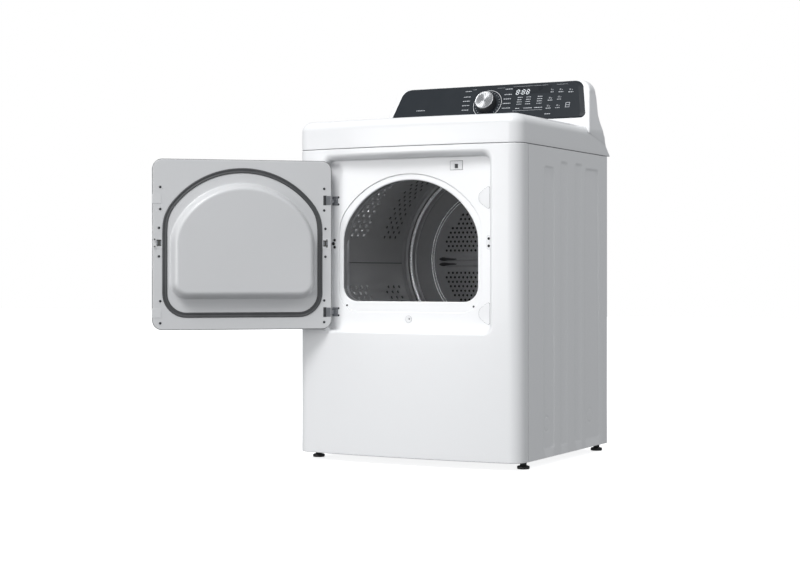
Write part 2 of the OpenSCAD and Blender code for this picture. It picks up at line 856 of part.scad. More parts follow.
// Room that the hinge arms need as the door turns about them
module arm_room() {
    for (z = hinge_zs) {
        block(-door_hw - 3, -226, -3, door_back + 2, z - arm_h / 2 - 0.6, z + arm_h / 2 + 0.6);
        block(-door_hw - 3, -240, -bow, door_back + 2, z - arm_h / 2 - 0.6, z + arm_h / 2 + 0.6);
    }
}

// Slots in the inner face that the hinge leaves are seen through
module leaf_room() {
    for (z = hinge_zs) {
        block(-door_hw - 1, -223, door_face - 17, door_back + 2, z - leaf_h / 2 - 0.4, z + leaf_h / 2 + 0.4);
        block(-door_hw - 1, -238, hinge_y - 4, hinge_y + 1, z - leaf_h / 2 - 0.4, z + leaf_h / 2 + 0.4);
    }
}

grip_z = [540, 670];

// The door's outer skin steps in by door_edge round its face, in place of a rounded edge
door_edge = 5;

module door_outer_panel() {
    color(white) door_swing() difference() {
        union() {
            intersection() {
                plate(-bow, door_face - 0.05) door_outline();
                translate([0, front_y, 0]) linear_extrude(height = 1200) front_plan(door_edge + 1);
            }
            intersection() {
                plate(-bow, door_face - 0.05) door_outline(door_edge);
                translate([0, front_y, 0]) linear_extrude(height = 1200) front_plan();
            }
        }
        intersection() {
            plate(-bow, door_face + 1) door_outline(door_edge + 2);
            translate([0, front_y, 0]) linear_extrude(height = 1200) front_plan(2);
        }
        intersection() {
            plate(-bow, door_face + 1) door_outline(2);
            translate([0, front_y, 0]) linear_extrude(height = 1200) front_plan(door_edge + 3);
        }
        block(door_hw - 16, door_hw + 5, 4, door_face - 0.1, grip_z[0], grip_z[1]);
        arm_room();
        leaf_room();
    }
}

module gasket_outline(grow = 0) {
    arch_outline(opening_hw + gasket_w + grow, gasket_top + grow, gasket_shoulder, gasket_bottom - grow,
        66 + grow);
}

module bulge_outline(inset = 0) {
    arch_outline(bulge_hw - inset, bulge_top - inset, 628, bulge_bottom + inset, 44 - inset);
}

module door_inner_panel() {
    color(light_grey) door_swing() difference() {
        union() {
            plate(door_face, door_back) door_outline();
            plate(door_back - 0.5, door_back + bulge_depth) bulge_outline(10);
            plate(door_back - 0.5, door_back + bulge_depth - 10) bulge_outline();
        }
        plate(door_face - 1, door_back + bulge_depth - 12) bulge_outline(2);
        plate(door_face - 1, door_back + bulge_depth - 2) bulge_outline(12);
        plate(door_back - 0.6, door_back + 1) difference() {
            gasket_outline();
            gasket_outline(-gasket_w);
        }
        for (side = [-1, 1]) block(side * strike_x - 7, side * strike_x + 7, door_face - 1, door_back + 1,
            strike_z - 15, strike_z + 15);
        arm_room();
        leaf_room();
    }
}

module door_gasket() {
    color([0.33, 0.34, 0.35]) door_swing() plate(door_back - 0.55, door_back + 1.5) difference() {
        gasket_outline(-0.2);
        gasket_outline(0.2 - gasket_w);
    }
}

module door_strikes() {
    color([0.45, 0.45, 0.42]) door_swing() for (side = [-1, 1]) {
        block(side * strike_x - 6.9, side * strike_x + 6.9, door_face, door_back - 0.2,
            strike_z - 14.9, strike_z + 14.9);
        for (k = [-1, 1]) y_bar(side * strike_x, strike_z + k * strike_pitch / 2, 1.8, door_face + 0.5,
            door_back + (side > 0 ? 7 : 0.6));
    }
}

// Two lugs around each frame arm, with the hinge pin through them
module hinge_door_leaves() {
    color([0.66, 0.68, 0.71]) door_swing() for (z = hinge_zs) {
        for (k = [-1, 1]) translate([0, 0, z + k * (arm_h / 2 + 3.9)]) difference() {
            union() {
                translate([hinge_x, fy(hinge_y), -3.1]) cylinder(r = pin_r + 1.4, h = 6.2);
                block(-door_hw + 2.2, -225, hinge_y + 1, door_back - 1.5, -3.1, 3.1);
            }
            block(-236, -228, 8, door_back + 1, -4, 4);
        }
        translate([hinge_x, fy(hinge_y), z - 13]) cylinder(r = pin_r, h = 26);
    }
}

door_screw_zs = [387, 447, 568.5, 646, 697, 757];

module door_screws() {
    color([0.45, 0.46, 0.48]) door_swing() for (side = [-1, 1], z = door_screw_zs)
        y_bar(side * (abs(z - strike_z) < 60 ? 230 : 226.5), z, 3.4, door_back + 0.05, door_back + 0.9);
}

module door_hinge_blanks() {
    color(light_grey) door_swing() for (z = hinge_zs)
        block(225, door_hw - 1, door_back + 0.05, door_back + 0.7, z - 13, z + 13);
}

// ---------- drum ----------

module drum() {
    color([0.55, 0.56, 0.58]) about_drum([
        [drum_r, drum_front], [drum_r + 1, drum_front], [drum_r + 1, drum_rear], [drum_r - 4, drum_rear + 5],
        [drum_r - 4, drum_rear + 14], [neck_r + 1, drum_rear + 19], [neck_r + 1, neck_end],
        [neck_r, neck_end], [neck_r, drum_rear + 18], [drum_r - 5, drum_rear + 13],
        [drum_r - 5, drum_rear + 4], [drum_r, drum_rear - 1]]);
}

baffle_h = 46;

module drum_baffles() {
    color([0.50, 0.51, 0.53]) intersection() {
        for (i = [0:2]) translate([0, fy(100), drum_z]) rotate([0, 180 + baffle_turn + 120 * i, 0])
            translate([0, 0, drum_r]) rotate([-90, 0, 0]) linear_extrude(height = 430)
                polygon([[-34, -2], [-30, 12], [-14, baffle_h - 4], [-8, baffle_h], [8, baffle_h],
                    [14, baffle_h - 4], [30, 12], [34, -2]]);
        y_bar(0, drum_z, drum_r - 0.05, 80, 545);
    }
}

module roller(side) {
    color([0.16, 0.16, 0.17])
        y_tube(side * roller_x(), roller_z(), roller_r, shaft_r + run_clear, roller_y, roller_y + roller_w);
}

module left_roller() { roller(-1); }
module right_roller() { roller(1); }

// ---------- knob ----------

module knob_cap() {
    color([0.80, 0.81, 0.82]) on_fascia() translate([0, knob_s, 0.6 + knob_h - 3]) union() {
        cylinder(r = knob_r, h = 2);
        translate([0, 0, 2 - eps]) cylinder(r1 = knob_r, r2 = knob_r - 1, h = 1);
    }
}

module knob_body() {
    color(dark_grey) on_fascia() translate([0, knob_s, 0]) {
        translate([0, 0, 1]) cylinder(r = knob_r + 0.5, h = knob_h - 3.45);
        translate([0, 0, -22]) cylinder(r = 3, h = 24);
    }
}

// ---------- feet ----------

module foot(x, y) {
    color([0.08, 0.08, 0.09]) translate([x, fy(y), 0]) {
        cylinder(r = foot_pad_r, h = 9);
        cylinder(r = 9, h = foot_h - 0.1);
        cylinder(r = 5, h = foot_h + 20);
    }
}

module foot_front_left() { foot(-foot_x, foot_front); }
module foot_front_right() { foot(foot_x, foot_front); }
module foot_rear_left() { foot(-foot_x, foot_rear); }
module foot_rear_right() { foot(foot_x, foot_rear); }

base_pan();
left_side_panel();
right_side_panel();
rear_panel();
front_panel();
front_bulkhead();
top_panel();
console_housing();
control_fascia();
display_window();
knob_ring();
control_board();
rear_bulkhead();
rear_grille();
drum_seals();
drum_glides();
roller_shafts();
motor_body();
motor_bracket();
drum_belt();
blower_housing();
lint_duct();
lint_filter_housing();
exhaust_duct();
heater_box();
heating_coils();
moisture_sensor_bars();
door_switch_housing();
catch_plate();
spare_catch();
hinge_hole_covers();
hinge_frame_leaves();
panel_screws();
terminal_cover();
sill_plug();
door_outer_panel();
door_inner_panel();
door_gasket();
door_strikes();
hinge_door_leaves();
door_screws();
door_hinge_blanks();
drum();
drum_baffles();
left_roller();
right_roller();
motor_shaft();
blower_wheel();
idler_arm();
idler_pulley();
knob_cap();
knob_body();
lint_filter_frame();
lint_filter_screen();
door_switch_lever();
foot_front_left();
foot_front_right();
foot_rear_left();
foot_rear_right();
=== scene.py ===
import json
import math
import random
import bpy
import bmesh
from mathutils import Matrix, Vector


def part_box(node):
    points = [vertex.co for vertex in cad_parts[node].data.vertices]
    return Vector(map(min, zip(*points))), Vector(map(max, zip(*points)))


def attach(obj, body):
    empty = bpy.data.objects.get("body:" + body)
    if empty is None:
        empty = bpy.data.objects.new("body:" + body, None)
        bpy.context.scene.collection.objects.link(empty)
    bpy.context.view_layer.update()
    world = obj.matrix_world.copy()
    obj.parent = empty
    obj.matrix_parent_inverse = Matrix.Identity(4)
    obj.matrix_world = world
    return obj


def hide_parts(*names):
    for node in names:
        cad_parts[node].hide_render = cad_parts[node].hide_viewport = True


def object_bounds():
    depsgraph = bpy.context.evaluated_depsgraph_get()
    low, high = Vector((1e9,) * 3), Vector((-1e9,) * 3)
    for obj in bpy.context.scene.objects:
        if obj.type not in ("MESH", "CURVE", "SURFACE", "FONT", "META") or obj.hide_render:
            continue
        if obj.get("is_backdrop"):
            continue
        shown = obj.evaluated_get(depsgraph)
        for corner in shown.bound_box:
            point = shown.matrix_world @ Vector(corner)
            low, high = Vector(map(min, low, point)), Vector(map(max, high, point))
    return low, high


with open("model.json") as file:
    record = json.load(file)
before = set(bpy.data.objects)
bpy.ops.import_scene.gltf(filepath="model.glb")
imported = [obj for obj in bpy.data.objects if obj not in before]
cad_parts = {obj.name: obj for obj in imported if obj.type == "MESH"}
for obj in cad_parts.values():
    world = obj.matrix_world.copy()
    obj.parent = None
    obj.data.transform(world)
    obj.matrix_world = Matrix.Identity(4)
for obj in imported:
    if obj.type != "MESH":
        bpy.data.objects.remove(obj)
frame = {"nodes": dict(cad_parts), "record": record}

CAD_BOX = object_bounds()
RECORD = frame["record"]
MM = 0.001

# ---------- places and sizes, in millimetres ----------
# A point is (x, depth behind the front's corner line, height).

BOW = 16.0
BOW_HALF = 305.0
CORNER_R = 38.0


def low(node):
    return [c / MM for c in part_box(node)[0]]


def high(node):
    return [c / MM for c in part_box(node)[1]]


HALF_W = high("right_side_panel")[0]
FRONT = low("front_panel")[1] + BOW
BACK = high("rear_panel")[1] - FRONT
BASE_Z = low("front_panel")[2]
SEAM_Z = high("front_panel")[2]
DECK_Z = high("top_panel")[2]
WRAP = low("right_side_panel")[1] - FRONT

JOINTS = {j["name"]: j for j in RECORD["behaviour"]["joints"]}
HINGE_X = JOINTS["door_hinge"]["pos_m"][0] / MM
HINGE_D = JOINTS["door_hinge"]["pos_m"][1] / MM - FRONT
DOOR_OPEN = JOINTS["door_hinge"]["range_deg"][1]
DRUM_Z = JOINTS["drum_spin"]["pos_m"][2] / MM

WELL = (-252.5, 365.0, 252.5, 838.0)
WELL_D = 22.0
WELL_R = 22.0
RING_D = 25.0
OPENING = dict(half=207.5, top=778.0, shoulder=634.0, bottom=445.5, corner=42.0)
RING = dict(half=219.5, top=795.0, shoulder=664.0, bottom=416.0, corner=60.0)

DOOR = (-247.5, 368.0, 247.5, 834.0)
DOOR_R = 27.0
DOOR_D = 20.0
GASKET = dict(half=221.0, top=811.0, shoulder=674.0, bottom=402.0, corner=66.0)
BULGE = dict(half=198.0, top=768.0, shoulder=628.0, bottom=454.0, corner=44.0)
HINGE_ZS = (415.0, 725.0)
STRIKE_Z = 605.5
CATCH_X = 242.0
SPARE_X = -234

LEAN = math.radians(25)
FASCIA_Z = 974.5
FASCIA_H = 114 / math.cos(LEAN)
FASCIA_D = 488.5 + (FASCIA_Z - 937) * math.tan(LEAN)


# ---------- shapes ----------

class Shape:
    """Vertices and faces of one piece, in millimetres."""

    def __init__(self):
        self.verts = []
        self.faces = []

    def grid(self, rows, closed=False):
        """Quads between rows of points; closed joins each row's ends."""
        start = len(self.verts)
        n = len(rows[0])
        for row in rows:
            self.verts.extend(row)
        for i in range(len(rows) - 1):
            for j in range(n if closed else n - 1):
                k = (j + 1) % n
                a, b = start + i * n, start + (i + 1) * n
                self.faces.append((a + j, a + k, b + k, b + j))
        return self

    def cap(self, loop):
        start = len(self.verts)
        self.verts.extend(loop)
        self.faces.append(tuple(range(start, start + len(loop))))
        return self

    def add(self, other, place=None):
        start = len(self.verts)
        self.verts.extend([place(*v) for v in other.verts] if place else other.verts)
        self.faces.extend(tuple(start + i for i in f) for f in other.faces)
        return self


def sin_cos(degrees):
    return math.sin(math.radians(degrees)), math.cos(math.radians(degrees))


def steps(a, b, n):
    return [a + (b - a) * i / n for i in range(n + 1)]


def mix(a, b, t):
    return a + (b - a) * t


N_BOTTOM, N_CORNER, N_SIDE, N_TOP = 12, 10, 14, 24


def arc(cx, cz, r, a0, a1, n):
    """n points of an arc, without its last."""
    return [(cx + r * math.cos(math.radians(mix(a0, a1, i / n))),
             cz + r * math.sin(math.radians(mix(a0, a1, i / n)))) for i in range(n)]


def line(a, b, n):
    return [(mix(a[0], b[0], i / n), mix(a[1], b[1], i / n)) for i in range(n)]


def box_outline(x0, z0, x1, z1, r):
    """Rounded rectangle from its bottom middle, anticlockwise seen from the front."""
    xc = (x0 + x1) / 2
    return (line((xc, z0), (x1 - r, z0), N_BOTTOM) + arc(x1 - r, z0 + r, r, -90, 0, N_CORNER)
            + line((x1, z0 + r), (x1, z1 - r), N_SIDE) + arc(x1 - r, z1 - r, r, 0, 90, N_CORNER)
            + line((x1 - r, z1), (x0 + r, z1), N_TOP) + arc(x0 + r, z1 - r, r, 90, 180, N_CORNER)
            + line((x0, z1 - r), (x0, z0 + r), N_SIDE) + arc(x0 + r, z0 + r, r, 180, 270, N_CORNER)
            + line((x0 + r, z0), (xc, z0), N_BOTTOM))


def arch_outline(half, top, shoulder, bottom, corner, grow=0.0, ease=5):
    """Arch on upright sides, with as many points as box_outline and its shoulders eased."""
    half, top, bottom, corner = half + grow, top + grow, bottom - grow, corner + grow
    rise = top - shoulder
    r = (half * half + rise * rise) / (2 * rise)
    a0 = math.degrees(math.asin((shoulder - top + r) / r))
    points = (line((0, bottom), (half - corner, bottom), N_BOTTOM)
              + arc(half - corner, bottom + corner, corner, -90, 0, N_CORNER)
              + line((half, bottom + corner), (half, shoulder), N_SIDE)
              + arc(0, top - r, r, a0, 180 - a0, 2 * N_CORNER + N_TOP)
              + line((-half, shoulder), (-half, bottom + corner), N_SIDE)
              + arc(corner - half, bottom + corner, corner, 180, 270, N_CORNER)
              + line((corner - half, bottom), (0, bottom), N_BOTTOM))
    right = N_BOTTOM + N_CORNER + N_SIDE
    left = right + 2 * N_CORNER + N_TOP
    for _ in range(ease):
        old = list(points)
        for middle in (right, left):
            for i in range(middle - 2, middle + 3):
                points[i] = tuple((old[i - 1][k] + 2 * old[i][k] + old[i + 1][k]) / 4 for k in (0, 1))
    return points


def at_depth(outline, d):
    return [(x, d(x) if callable(d) else d, z) for x, z in outline]


def arches(spec, places):
    """One arch of the given kind for each pair of growth and depth."""
    return [at_depth(arch_outline(**spec, grow=grow), d) for grow, d in places]


def rounded(a, b, t):
    """Outline partway between two outlines."""
    return [(mix(p[0], q[0], t), mix(p[1], q[1], t)) for p, q in zip(a, b)]


def bow(x):
    return -BOW * (1 - (x / BOW_HALF) ** 2)


def lathe(profile, n=64, cap_start=False, cap_end=False):
    """Turned shape about local Z from points (radius, height)."""
    shape = Shape()
    rows = [[(r * math.cos(2 * math.pi * i / n), r * math.sin(2 * math.pi * i / n), h) for i in range(n)]
            for r, h in profile]
    shape.grid(rows, closed=True)
    if cap_start:
        shape.cap(rows[0])
    if cap_end:
        shape.cap(rows[-1])
    return shape


def rounded_bar(length, width, height, r=None, edge=0.3, n=6):
    """Flat bar in local XY with round ends and a softened upper edge, standing on Z 0."""
    r = min(length, width) / 2 - 0.001 if r is None else r
    def outline(inset):
        a, b, c = length / 2 - inset, width / 2 - inset, max(r - inset, 0.01)
        out = []
        for k, (sx, sy) in enumerate(((1, 1), (-1, 1), (-1, -1), (1, -1))):
            for i in range(n + 1):
                t = math.radians(90 * k + 90 * i / n)
                out.append((sx * (a - c) + c * math.cos(t), sy * (b - c) + c * math.sin(t)))
        return out
    shape = Shape()
    rows = [[(x, y, h) for x, y in outline(i)]
            for i, h in ((0, 0), (0, height - edge), (0.3 * edge, height - 0.3 * edge), (edge, height))]
    shape.grid(rows, closed=True).cap(rows[-1]).cap(rows[0])
    return shape


# Where a local shape goes: x to the right, y up, z out of the surface

def on_front(cx, cz, d, turn=0.0):
    s, c = sin_cos(turn)
    return lambda x, y, z: (cx + c * x - s * y, d - z, cz + s * x + c * y)


def on_door(cx, cz, d=DOOR_D, turn=0.0):
    """On the door's inner face, which looks backwards when the door is closed."""
    s, c = sin_cos(turn)
    return lambda x, y, z: (cx + c * x - s * y, d + z, cz + s * x + c * y)


def on_fascia(cx, s0, h=0.6, turn=0.0):
    s, c = sin_cos(turn)
    def place(x, y, z):
        x, y, z = cx + c * x - s * y, s0 + s * x + c * y, h + z
        return (x, FASCIA_D + y * math.sin(LEAN) - z * math.cos(LEAN),
                FASCIA_Z + y * math.cos(LEAN) + z * math.sin(LEAN))
    return place


def along_y(cx, cz):
    """Local Z runs backwards, along the drum's axis."""
    return lambda x, y, z: (cx + x, z, cz + y)


def upright(cx, d):
    return lambda x, y, z: (cx + x, d + y, z)


# ---------- pieces ----------

def door_swing():
    pin = Vector((HINGE_X * MM, (HINGE_D + FRONT) * MM, 0))
    swing = Matrix.Rotation(-math.radians(DOOR_OPEN), 4, "Z")
    return Matrix.Translation(pin) @ swing @ Matrix.Translation(-pin)


def piece(name, shape, material, body, nodes=(), facing=None, wall=0.0, angle=38, bevel=0.0):
    """Makes a mesh object of a shape, in place, riding on its body. facing turns an open skin's normals
    that way, and wall then gives it that thickness behind them."""
    mesh = bpy.data.meshes.new(name)
    mesh.from_pydata([(x * MM, (d + FRONT) * MM, z * MM) for x, d, z in shape.verts], [], shape.faces)
    bm = bmesh.new()
    bm.from_mesh(mesh)
    bmesh.ops.remove_doubles(bm, verts=bm.verts, dist=0.00003)
    bmesh.ops.dissolve_degenerate(bm, dist=0.000005, edges=bm.edges)
    bmesh.ops.recalc_face_normals(bm, faces=bm.faces)
    if facing:
        if sum(f.normal.dot(Vector(facing)) * f.calc_area() for f in bm.faces) < 0:
            bmesh.ops.reverse_faces(bm, faces=bm.faces)
    if body == "door":
        bmesh.ops.transform(bm, matrix=door_swing(), verts=bm.verts)
    bm.to_mesh(mesh)
    bm.free()
    obj = bpy.data.objects.new(name, mesh)
    bpy.context.scene.collection.objects.link(obj)
    finish_mesh(obj, angle, wall, bevel)
    mesh.materials.append(material)
    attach(obj, body)
    if nodes:
        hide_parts(*nodes)
    return obj


def finish_mesh(obj, angle, wall=0.0, bevel=0.0):
    obj.data.polygons.foreach_set("use_smooth", [True] * len(obj.data.polygons))
    obj.data.set_sharp_from_angle(angle=math.radians(angle))
    if wall:
        solid = obj.modifiers.new("Wall", "SOLIDIFY")
        solid.thickness = wall * MM
        solid.offset = -1
    if bevel:
        edge = obj.modifiers.new("Edges", "BEVEL")
        edge.width = bevel * MM
        edge.segments = 2
        edge.limit_method = "ANGLE"
        edge.angle_limit = math.radians(30)
    even = obj.modifiers.new("Even", "WEIGHTED_NORMAL")
    even.keep_sharp = True


def dress_node(name, material, bevel=0.6):
    """Gives a CAD node its material and softened edges."""
    obj = frame["nodes"][name]
    obj.data.materials.clear()
    obj.data.materials.append(material)
    weld = obj.modifiers.new("Weld", "WELD")
    weld.merge_threshold = 0.00002
    if bevel:
        edge = obj.modifiers.new("Edges", "BEVEL")
        edge.width = bevel * MM
        edge.segments = 2
        edge.limit_method = "ANGLE"
        edge.angle_limit = math.radians(32)
        edge.use_clamp_overlap = True


# ---------- materials ----------

def new_material(name, color, metallic=0.0, rough=0.5, **inputs):
    mat = bpy.data.materials.new(name)
    mat.use_nodes = True
    shader = mat.node_tree.nodes["Principled BSDF"]
    shader.inputs["Base Color"].default_value = (*color, 1)
    shader.inputs["Metallic"].default_value = metallic
    shader.inputs["Roughness"].default_value = rough
    for key, value in inputs.items():
        shader.inputs[key.replace("_", " ")].default_value = value
    mat.diffuse_color = (*color, 1)
    return mat


def add(mat, kind, **values):
    node = mat.node_tree.nodes.new(kind)
    for key, value in values.items():
        if hasattr(node, key):
            setattr(node, key, value)
        else:
            node.inputs[key.replace("_", " ")].default_value = value
    return node


def wire(mat, a, b):
    mat.node_tree.links.new(a, b)


def object_place(mat, stretch=(1, 1, 1)):
    mapping = add(mat, "ShaderNodeMapping")
    mapping.inputs["Scale"].default_value = stretch
    wire(mat, add(mat, "ShaderNodeTexCoord").outputs["Object"], mapping.inputs["Vector"])
    return mapping.outputs["Vector"]


def noise(mat, scale, detail=2.0, stretch=(1, 1, 1)):
    node = add(mat, "ShaderNodeTexNoise", Scale=scale, Detail=detail)
    wire(mat, object_place(mat, stretch), node.inputs["Vector"])
    return node.outputs["Fac"]


def remap(mat, value, low_to, high_to, low_from=0.3, high_from=0.7):
    node = add(mat, "ShaderNodeMapRange")
    node.inputs["From Min"].default_value = low_from
    node.inputs["From Max"].default_value = high_from
    node.inputs["To Min"].default_value = low_to
    node.inputs["To Max"].default_value = high_to
    wire(mat, value, node.inputs["Value"])
    return node.outputs["Result"]


def shade(mat, value, dark, light, low_from=0.3, high_from=0.7):
    """Base colour that runs from dark to light as value rises."""
    node = add(mat, "ShaderNodeValToRGB")
    node.color_ramp.elements[0].position = low_from
    node.color_ramp.elements[1].position = high_from
    node.color_ramp.elements[0].color = (*dark, 1)
    node.color_ramp.elements[1].color = (*light, 1)
    wire(mat, value, node.inputs["Fac"])
    wire(mat, node.outputs["Color"], mat.node_tree.nodes["Principled BSDF"].inputs["Base Color"])


def roughness(mat, value):
    wire(mat, value, mat.node_tree.nodes["Principled BSDF"].inputs["Roughness"])


def bump(mat, value, depth, strength=1.0):
    node = add(mat, "ShaderNodeBump")
    node.inputs["Distance"].default_value = depth
    node.inputs["Strength"].default_value = strength
    wire(mat, value, node.inputs["Height"])
    wire(mat, node.outputs["Normal"], mat.node_tree.nodes["Principled BSDF"].inputs["Normal"])


def scaled(color, k):
    return tuple(c * k for c in color)


def enamel(name, color, rough=0.30):
    """Baked paint: faint orange peel, and a gloss that varies a little over the sheet."""
    mat = new_material(name, color, rough=rough, Coat_Weight=0.25, Coat_Roughness=0.12)
    shade(mat, noise(mat, 30.0, 3.0), scaled(color, 0.992), color, 0.1, 0.9)
    roughness(mat, remap(mat, noise(mat, 60.0, 4.0), rough - 0.015, rough + 0.02, 0.1, 0.9))
    bump(mat, noise(mat, 160.0, 1.0), 0.00003, 0.2)
    return mat


def moulded(name, color, rough=0.45, grain=900.0, depth=0.00008, sheen=0.5):
    """Moulded plastic with a fine grain; sheen is how strongly it mirrors the room."""
    mat = new_material(name, color, rough=rough, Specular_IOR_Level=sheen)
    shade(mat, noise(mat, 6.0, 3.0), scaled(color, 0.95), color)
    roughness(mat, remap(mat, noise(mat, 40.0, 3.0), rough - 0.05, rough + 0.06))
    bump(mat, noise(mat, grain, 2.0), depth, 0.4)
    return mat


def rolled_steel(name, color, rough=0.35, stretch=(1, 1, 1), grain=220.0, metallic=1.0):
    """Sheet metal with a rolling grain along one direction."""
    mat = new_material(name, color, metallic=metallic, rough=rough)
    lines = noise(mat, grain, 4.0, stretch)
    shade(mat, lines, scaled(color, 0.9), color)
    roughness(mat, remap(mat, lines, rough - 0.07, rough + 0.08))
    bump(mat, lines, 0.00004, 0.3)
    return mat


def galvanised(name, color):
    """Zinc-coated sheet with its spangle."""
    mat = new_material(name, color, metallic=0.9, rough=0.42)
    cells = add(mat, "ShaderNodeTexVoronoi", Scale=70.0)
    wire(mat, object_place(mat), cells.inputs["Vector"])
    value = add(mat, "ShaderNodeSeparateColor")
    wire(mat, cells.outputs["Color"], value.inputs["Color"])
    shade(mat, value.outputs["Red"], scaled(color, 0.86), color, 0.0, 1.0)
    roughness(mat, remap(mat, value.outputs["Green"], 0.34, 0.50, 0.0, 1.0))
    bump(mat, noise(mat, 300.0, 2.0), 0.00005, 0.3)
    return mat


def drum_coat(name, color, rough=0.30):
    """Dark drum sheet, brushed round its girth, with a dulled sheen."""
    mat = new_material(name, color, metallic=0.35, rough=rough)
    lines = noise(mat, 60.0, 5.0, (1.0, 14.0, 1.0))
    shade(mat, lines, scaled(color, 0.94), scaled(color, 1.04), 0.1, 0.9)
    roughness(mat, remap(mat, noise(mat, 14.0, 2.0), rough - 0.02, rough + 0.03, 0.1, 0.9))
    bump(mat, lines, 0.00001, 0.15)
    return mat


def spun_metal(name, color):
    """Turned face with fine rings about the object's own Z."""
    mat = new_material(name, color, metallic=1.0, rough=0.30, Anisotropic=0.85)
    rings = add(mat, "ShaderNodeTexWave", wave_type="RINGS", rings_direction="Z", Scale=420.0,
                Distortion=0.6, Detail=2.0)
    wire(mat, object_place(mat), rings.inputs["Vector"])
    shade(mat, rings.outputs["Fac"], scaled(color, 0.88), color, 0.1, 0.9)
    roughness(mat, remap(mat, rings.outputs["Fac"], 0.24, 0.34, 0.0, 1.0))
    tangent = add(mat, "ShaderNodeTangent", direction_type="RADIAL", axis="Z")
    wire(mat, tangent.outputs["Tangent"], mat.node_tree.nodes["Principled BSDF"].inputs["Tangent"])
    return mat


def felt(name, color):
    mat = new_material(name, color, rough=0.95, Sheen_Weight=0.5, Sheen_Roughness=0.5)
    fibres = noise(mat, 1200.0, 6.0)
    shade(mat, fibres, scaled(color, 0.7), color)
    bump(mat, fibres, 0.0006, 0.6)
    return mat


def rubber(name, color, rough=0.55):
    mat = new_material(name, color, rough=rough, Specular_IOR_Level=0.4)
    shade(mat, noise(mat, 20.0, 4.0), scaled(color, 0.88), scaled(color, 1.06))
    roughness(mat, remap(mat, noise(mat, 90.0, 3.0), rough - 0.06, rough + 0.10))
    bump(mat, noise(mat, 1500.0, 2.0), 0.00006, 0.4)
    return mat


def light_mark(name, color, glow):
    """Printed or lit marking, with a glow: for the lit digits that is the display's own light, for print it
    is a painted glow.
    """
    mat = new_material(name, color, rough=0.5, Emission_Color=(*color, 1), Emission_Strength=glow)
    shade(mat, noise(mat, 300.0, 2.0), scaled(color, 0.93), color)
    return mat


WHITE = enamel("white_enamel", (0.80, 0.805, 0.815))
INNER = enamel("inner_enamel", (0.62, 0.625, 0.635), 0.40)
PLASTIC_WHITE = moulded("white_plastic", (0.80, 0.805, 0.815), 0.36)
PLASTIC_GREY = moulded("grey_plastic", (0.55, 0.56, 0.58), 0.5)
PLASTIC_DARK = moulded("dark_plastic", (0.035, 0.037, 0.04), 0.42)
BLANK_GREY = moulded("blank_grey", (0.66, 0.665, 0.675), 0.4)
FASCIA = moulded("fascia_plastic", (0.020, 0.024, 0.029), 0.34, 300.0, 0.000003, 0.12)
LENS = moulded("display_lens", (0.015, 0.018, 0.022), 0.30, 300.0, 0.000003, 0.12)
GALVANISED = galvanised("galvanised_steel", (0.58, 0.59, 0.61))
DRUM = drum_coat("drum_coat", (0.20, 0.202, 0.208))
DRUM_DARK = drum_coat("drum_shadow", (0.02, 0.02, 0.021), 0.6)
# The drum's coat painted over twice as light: a painted highlight for the pressed domes.
DRUM_HIGHLIGHT = drum_coat("drum_painted_highlight", (0.46, 0.465, 0.475), 0.24)
# Light colour for the drum's rear bead and rims, which are the same sheet as the drum: a painted highlight.
DRUM_RING_HIGHLIGHT = rolled_steel("drum_ring_painted_highlight", (0.74, 0.75, 0.77), 0.30, (1.0, 8.0, 1.0), metallic=0.45)
PLATED = rolled_steel("hinge_steel", (0.33, 0.34, 0.36), 0.42, (1.0, 1.0, 6.0))
SCREW = rolled_steel("screw_steel", (0.075, 0.078, 0.083), 0.5)
CHROME = rolled_steel("bright_ring", (0.82, 0.83, 0.85), 0.30, metallic=0.5)
KNOB_FACE = spun_metal("knob_face", (0.40, 0.405, 0.415))
GASKET_DARK = rubber("seal_rubber", (0.075, 0.077, 0.08))
# The same rubber painted twice as light for the seal's rim: a painted highlight.
GASKET_RIM_HIGHLIGHT = rubber("seal_rubber_rim_highlight", (0.15, 0.153, 0.16), 0.6)
BLACK = moulded("foot_plastic", (0.012, 0.012, 0.013), 0.48)
RUBBER = rubber("black_rubber", (0.022, 0.022, 0.023))
FELT = felt("seal_felt", (0.40, 0.38, 0.35))
NYLON = moulded("glide_nylon", (0.70, 0.69, 0.64), 0.35)
BOARD = moulded("circuit_board", (0.02, 0.11, 0.05), 0.35)
MOTOR = enamel("motor_paint", (0.07, 0.08, 0.09), 0.4)
DUCT = rolled_steel("duct_metal", (0.62, 0.63, 0.65), 0.30, (1.0, 10.0, 1.0))
HEATER = rolled_steel("heater_wire", (0.05, 0.042, 0.036), 0.6)
BURNT = rolled_steel("heater_box_steel", (0.03, 0.03, 0.031), 0.65)
FILTER = moulded("filter_plastic", (0.12, 0.26, 0.45), 0.4)
MESH_CLOTH = felt("filter_mesh", (0.62, 0.63, 0.66))
# Print glows faintly though it is no lamp: a painted glow.
PRINT_GLOW = light_mark("printed_mark", (0.50, 0.52, 0.55), 0.10)
LIT = light_mark("lit_digits", (0.86, 0.90, 0.93), 0.6)
STRIKE = rolled_steel("strike_steel", (0.13, 0.13, 0.12), 0.5)
# Dark grey for the door's joint, the switch plate's outline and the covers' grooves: painted shade in gaps
# and along edges.
JOINT_SHADE = moulded("painted_joint_shade", (0.17, 0.172, 0.178), 0.5)


# ---------- cabinet ----------

EDGE_R = 2.2
HEM = 16
SEAM_GAP = 1.2
FLARE_SIDE, FLARE_TOP, FLARE_BOTTOM = 14.0, 17.0, 8.0
X_FLAT = BOW_HALF + CORNER_R * math.sin(math.radians(7))


